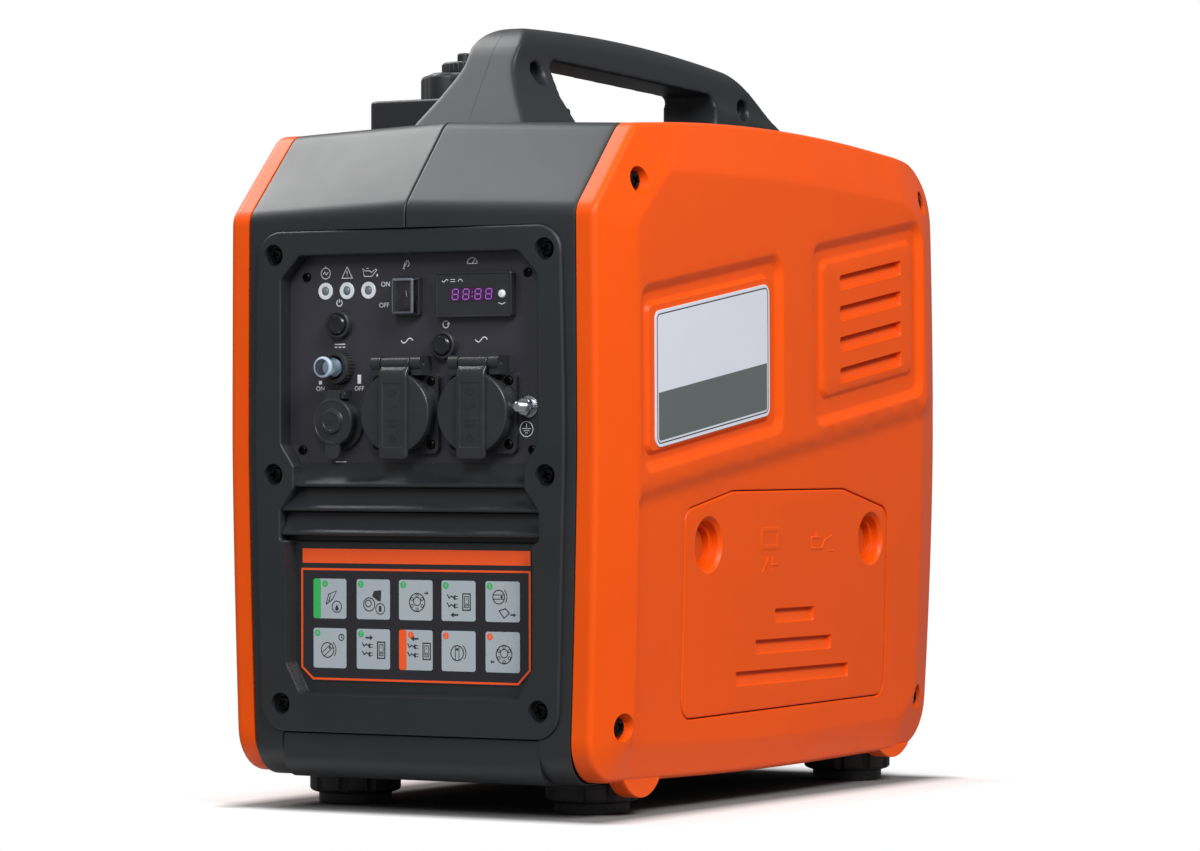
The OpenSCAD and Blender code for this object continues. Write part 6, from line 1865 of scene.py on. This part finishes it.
# ---------------------------------------------------------------- stage
class GENERATOR_OT_stage(bpy.types.Operator):
    """Pale floor, soft studio light and the camera"""

    bl_idname = "generator.stage"
    bl_label = "Stage"

    def execute(self, context):
        scene = context.scene
        mesh = bpy.data.meshes.new("floor")
        bm = bmesh.new()
        bmesh.ops.create_grid(bm, x_segments=1, y_segments=1, size=6)
        bm.to_mesh(mesh)
        bm.free()
        floor = bpy.data.objects.new("floor", mesh)
        scene.collection.objects.link(floor)
        # Matt white paper that fades into the white behind it
        m, tree = blank("matt_white_paper")
        spot = shader(tree, "ShaderNodeTexCoord").outputs["Object"]
        # Distance outside the case's footprint
        near = shader(tree, "ShaderNodeVectorMath", links={0: spot}, operation="ABSOLUTE")
        out = shader(tree, "ShaderNodeVectorMath", {1: (0.13, 0.22, 0)}, {0: near.outputs[0]},
                     operation="SUBTRACT")
        out = shader(tree, "ShaderNodeVectorMath", {1: (0, 0, 0)}, {0: out.outputs[0]}, operation="MAXIMUM")
        far = shader(tree, "ShaderNodeVectorMath", links={0: out.outputs[0]}, operation="LENGTH")
        fade = shader(tree, "ShaderNodeMapRange", {"From Min": 0.0, "From Max": 0.08},
                      {"Value": far.outputs["Value"]}, interpolation_type="SMOOTHSTEP")
        # Painted shadow: the paper is darkened under the case and for 3 cm round its footprint
        deep = shader(tree, "ShaderNodeMapRange",
                      {"From Min": 0.0, "From Max": 0.03, "To Min": 0.2, "To Max": 0.84},
                      {"Value": far.outputs["Value"]})
        grain = shader(tree, "ShaderNodeTexNoise", {"Scale": 400.0}, {"Vector": spot})
        bump = shader(tree, "ShaderNodeBump", {"Distance": 0.00005}, {"Height": grain.outputs["Fac"]})
        paper = shader(tree, "ShaderNodeBsdfDiffuse",
                       links={"Color": deep.outputs[0], "Normal": bump.outputs[0]})
        clear = shader(tree, "ShaderNodeBsdfTransparent")
        both_of = shader(tree, "ShaderNodeMixShader", links={0: fade.outputs[0], 1: paper.outputs[0],
                                                             2: clear.outputs[0]})
        shader(tree, "ShaderNodeOutputMaterial", links={"Surface": both_of.outputs[0]})
        mesh.materials.append(m)

        world = bpy.data.worlds.new("studio") if scene.world is None else scene.world
        scene.world = world
        world.use_nodes = True
        tree = world.node_tree
        tree.nodes.clear()
        path = shader(tree, "ShaderNodeLightPath")
        seen = shader(tree, "ShaderNodeBackground", {"Color": (1, 1, 1, 1), "Strength": 1.0})
        fill = shader(tree, "ShaderNodeBackground", {"Color": (1, 1, 1, 1), "Strength": 0.26})
        mix = shader(tree, "ShaderNodeMixShader",
                     links={0: path.outputs["Is Camera Ray"], 1: fill.outputs[0],
                                                         2: seen.outputs[0]})
        shader(tree, "ShaderNodeOutputWorld", links={"Surface": mix.outputs[0]})

        for name, spot, aim, size, power in (
                ("side", (2.3, -1.2, 2.3), (0, 0, 0.25), 1.3, 100),
                ("sheen", (-1.9, 0.15, 2.5), (0, -0.15, 0.4), 1.7, 72),
                ("front", (0.7, -2.6, 1.9), (0, 0, 0.2), 1.2, 42)):
            light = bpy.data.lights.new(name, "AREA")
            light.shape, light.size, light.energy = "DISK", size, power
            lamp = bpy.data.objects.new(name, light)
            scene.collection.objects.link(lamp)
            lamp.location = spot
            lamp.rotation_euler = (Vector(aim) - Vector(spot)).to_track_quat("-Z", "Y").to_euler()

        lens = bpy.data.cameras.new("camera")
        lens.lens, lens.sensor_width, lens.clip_start = 140.9, 36.0, 0.05
        camera = bpy.data.objects.new("camera", lens)
        scene.collection.objects.link(camera)
        ahead = Vector((-0.5092941, 0.86058231, 0.00419647))
        right = Vector((0.86058602, 0.50930317, -0.00140868))
        turn = Matrix((right, right.cross(ahead), -ahead)).transposed().to_4x4()
        camera.matrix_world = Matrix.Translation((1.57284, -2.65418, 0.22721)) @ turn
        scene.camera = camera
        scene.view_settings.view_transform = "Standard"
        return {"FINISHED"}


PIECES = ("right_cover", "left_cover", "shells", "handle", "front_bezel", "softened", "service_cover",
          "side_plate", "sticker", "buttons", "switch_and_meter", "sockets", "panel_marks", "screws",
          "louvre", "filler", "feet", "inner", "stage")


class GENERATOR_PT_panel(bpy.types.Panel):
    """Sizes, colours and a button for each group of pieces"""

    bl_idname = "GENERATOR_PT_panel"
    bl_label = "Portable generator"
    bl_space_type = "VIEW_3D"
    bl_region_type = "UI"
    bl_category = "Generator"

    def draw(self, context):
        for group in (context.scene.generator_sizes, context.scene.generator_colours):
            for name in group.__annotations__:
                self.layout.prop(group, name)
        for name in PIECES:
            self.layout.operator("generator." + name)


CLASSES = (GENERATOR_PG_sizes, GENERATOR_PG_colours, GENERATOR_OT_right_cover, GENERATOR_OT_left_cover,
           GENERATOR_OT_shells, GENERATOR_OT_handle, GENERATOR_OT_front_bezel, GENERATOR_OT_softened,
           GENERATOR_OT_service_cover, GENERATOR_OT_side_plate, GENERATOR_OT_sticker,
           GENERATOR_OT_buttons, GENERATOR_OT_switch_and_meter, GENERATOR_OT_sockets,
           GENERATOR_OT_panel_marks, GENERATOR_OT_screws, GENERATOR_OT_louvre, GENERATOR_OT_filler,
           GENERATOR_OT_feet, GENERATOR_OT_inner, GENERATOR_OT_stage, GENERATOR_PT_panel)


def register():
    for cls in CLASSES:
        bpy.utils.register_class(cls)
    bpy.types.Scene.generator_sizes = bpy.props.PointerProperty(type=GENERATOR_PG_sizes)
    bpy.types.Scene.generator_colours = bpy.props.PointerProperty(type=GENERATOR_PG_colours)


def unregister():
    del bpy.types.Scene.generator_colours
    del bpy.types.Scene.generator_sizes
    for cls in reversed(CLASSES):
        bpy.utils.unregister_class(cls)


def main():
    register()
    make_finishes()
    for name in PIECES:
        getattr(bpy.ops.generator, name)()


if __name__ == "__main__":
    main()
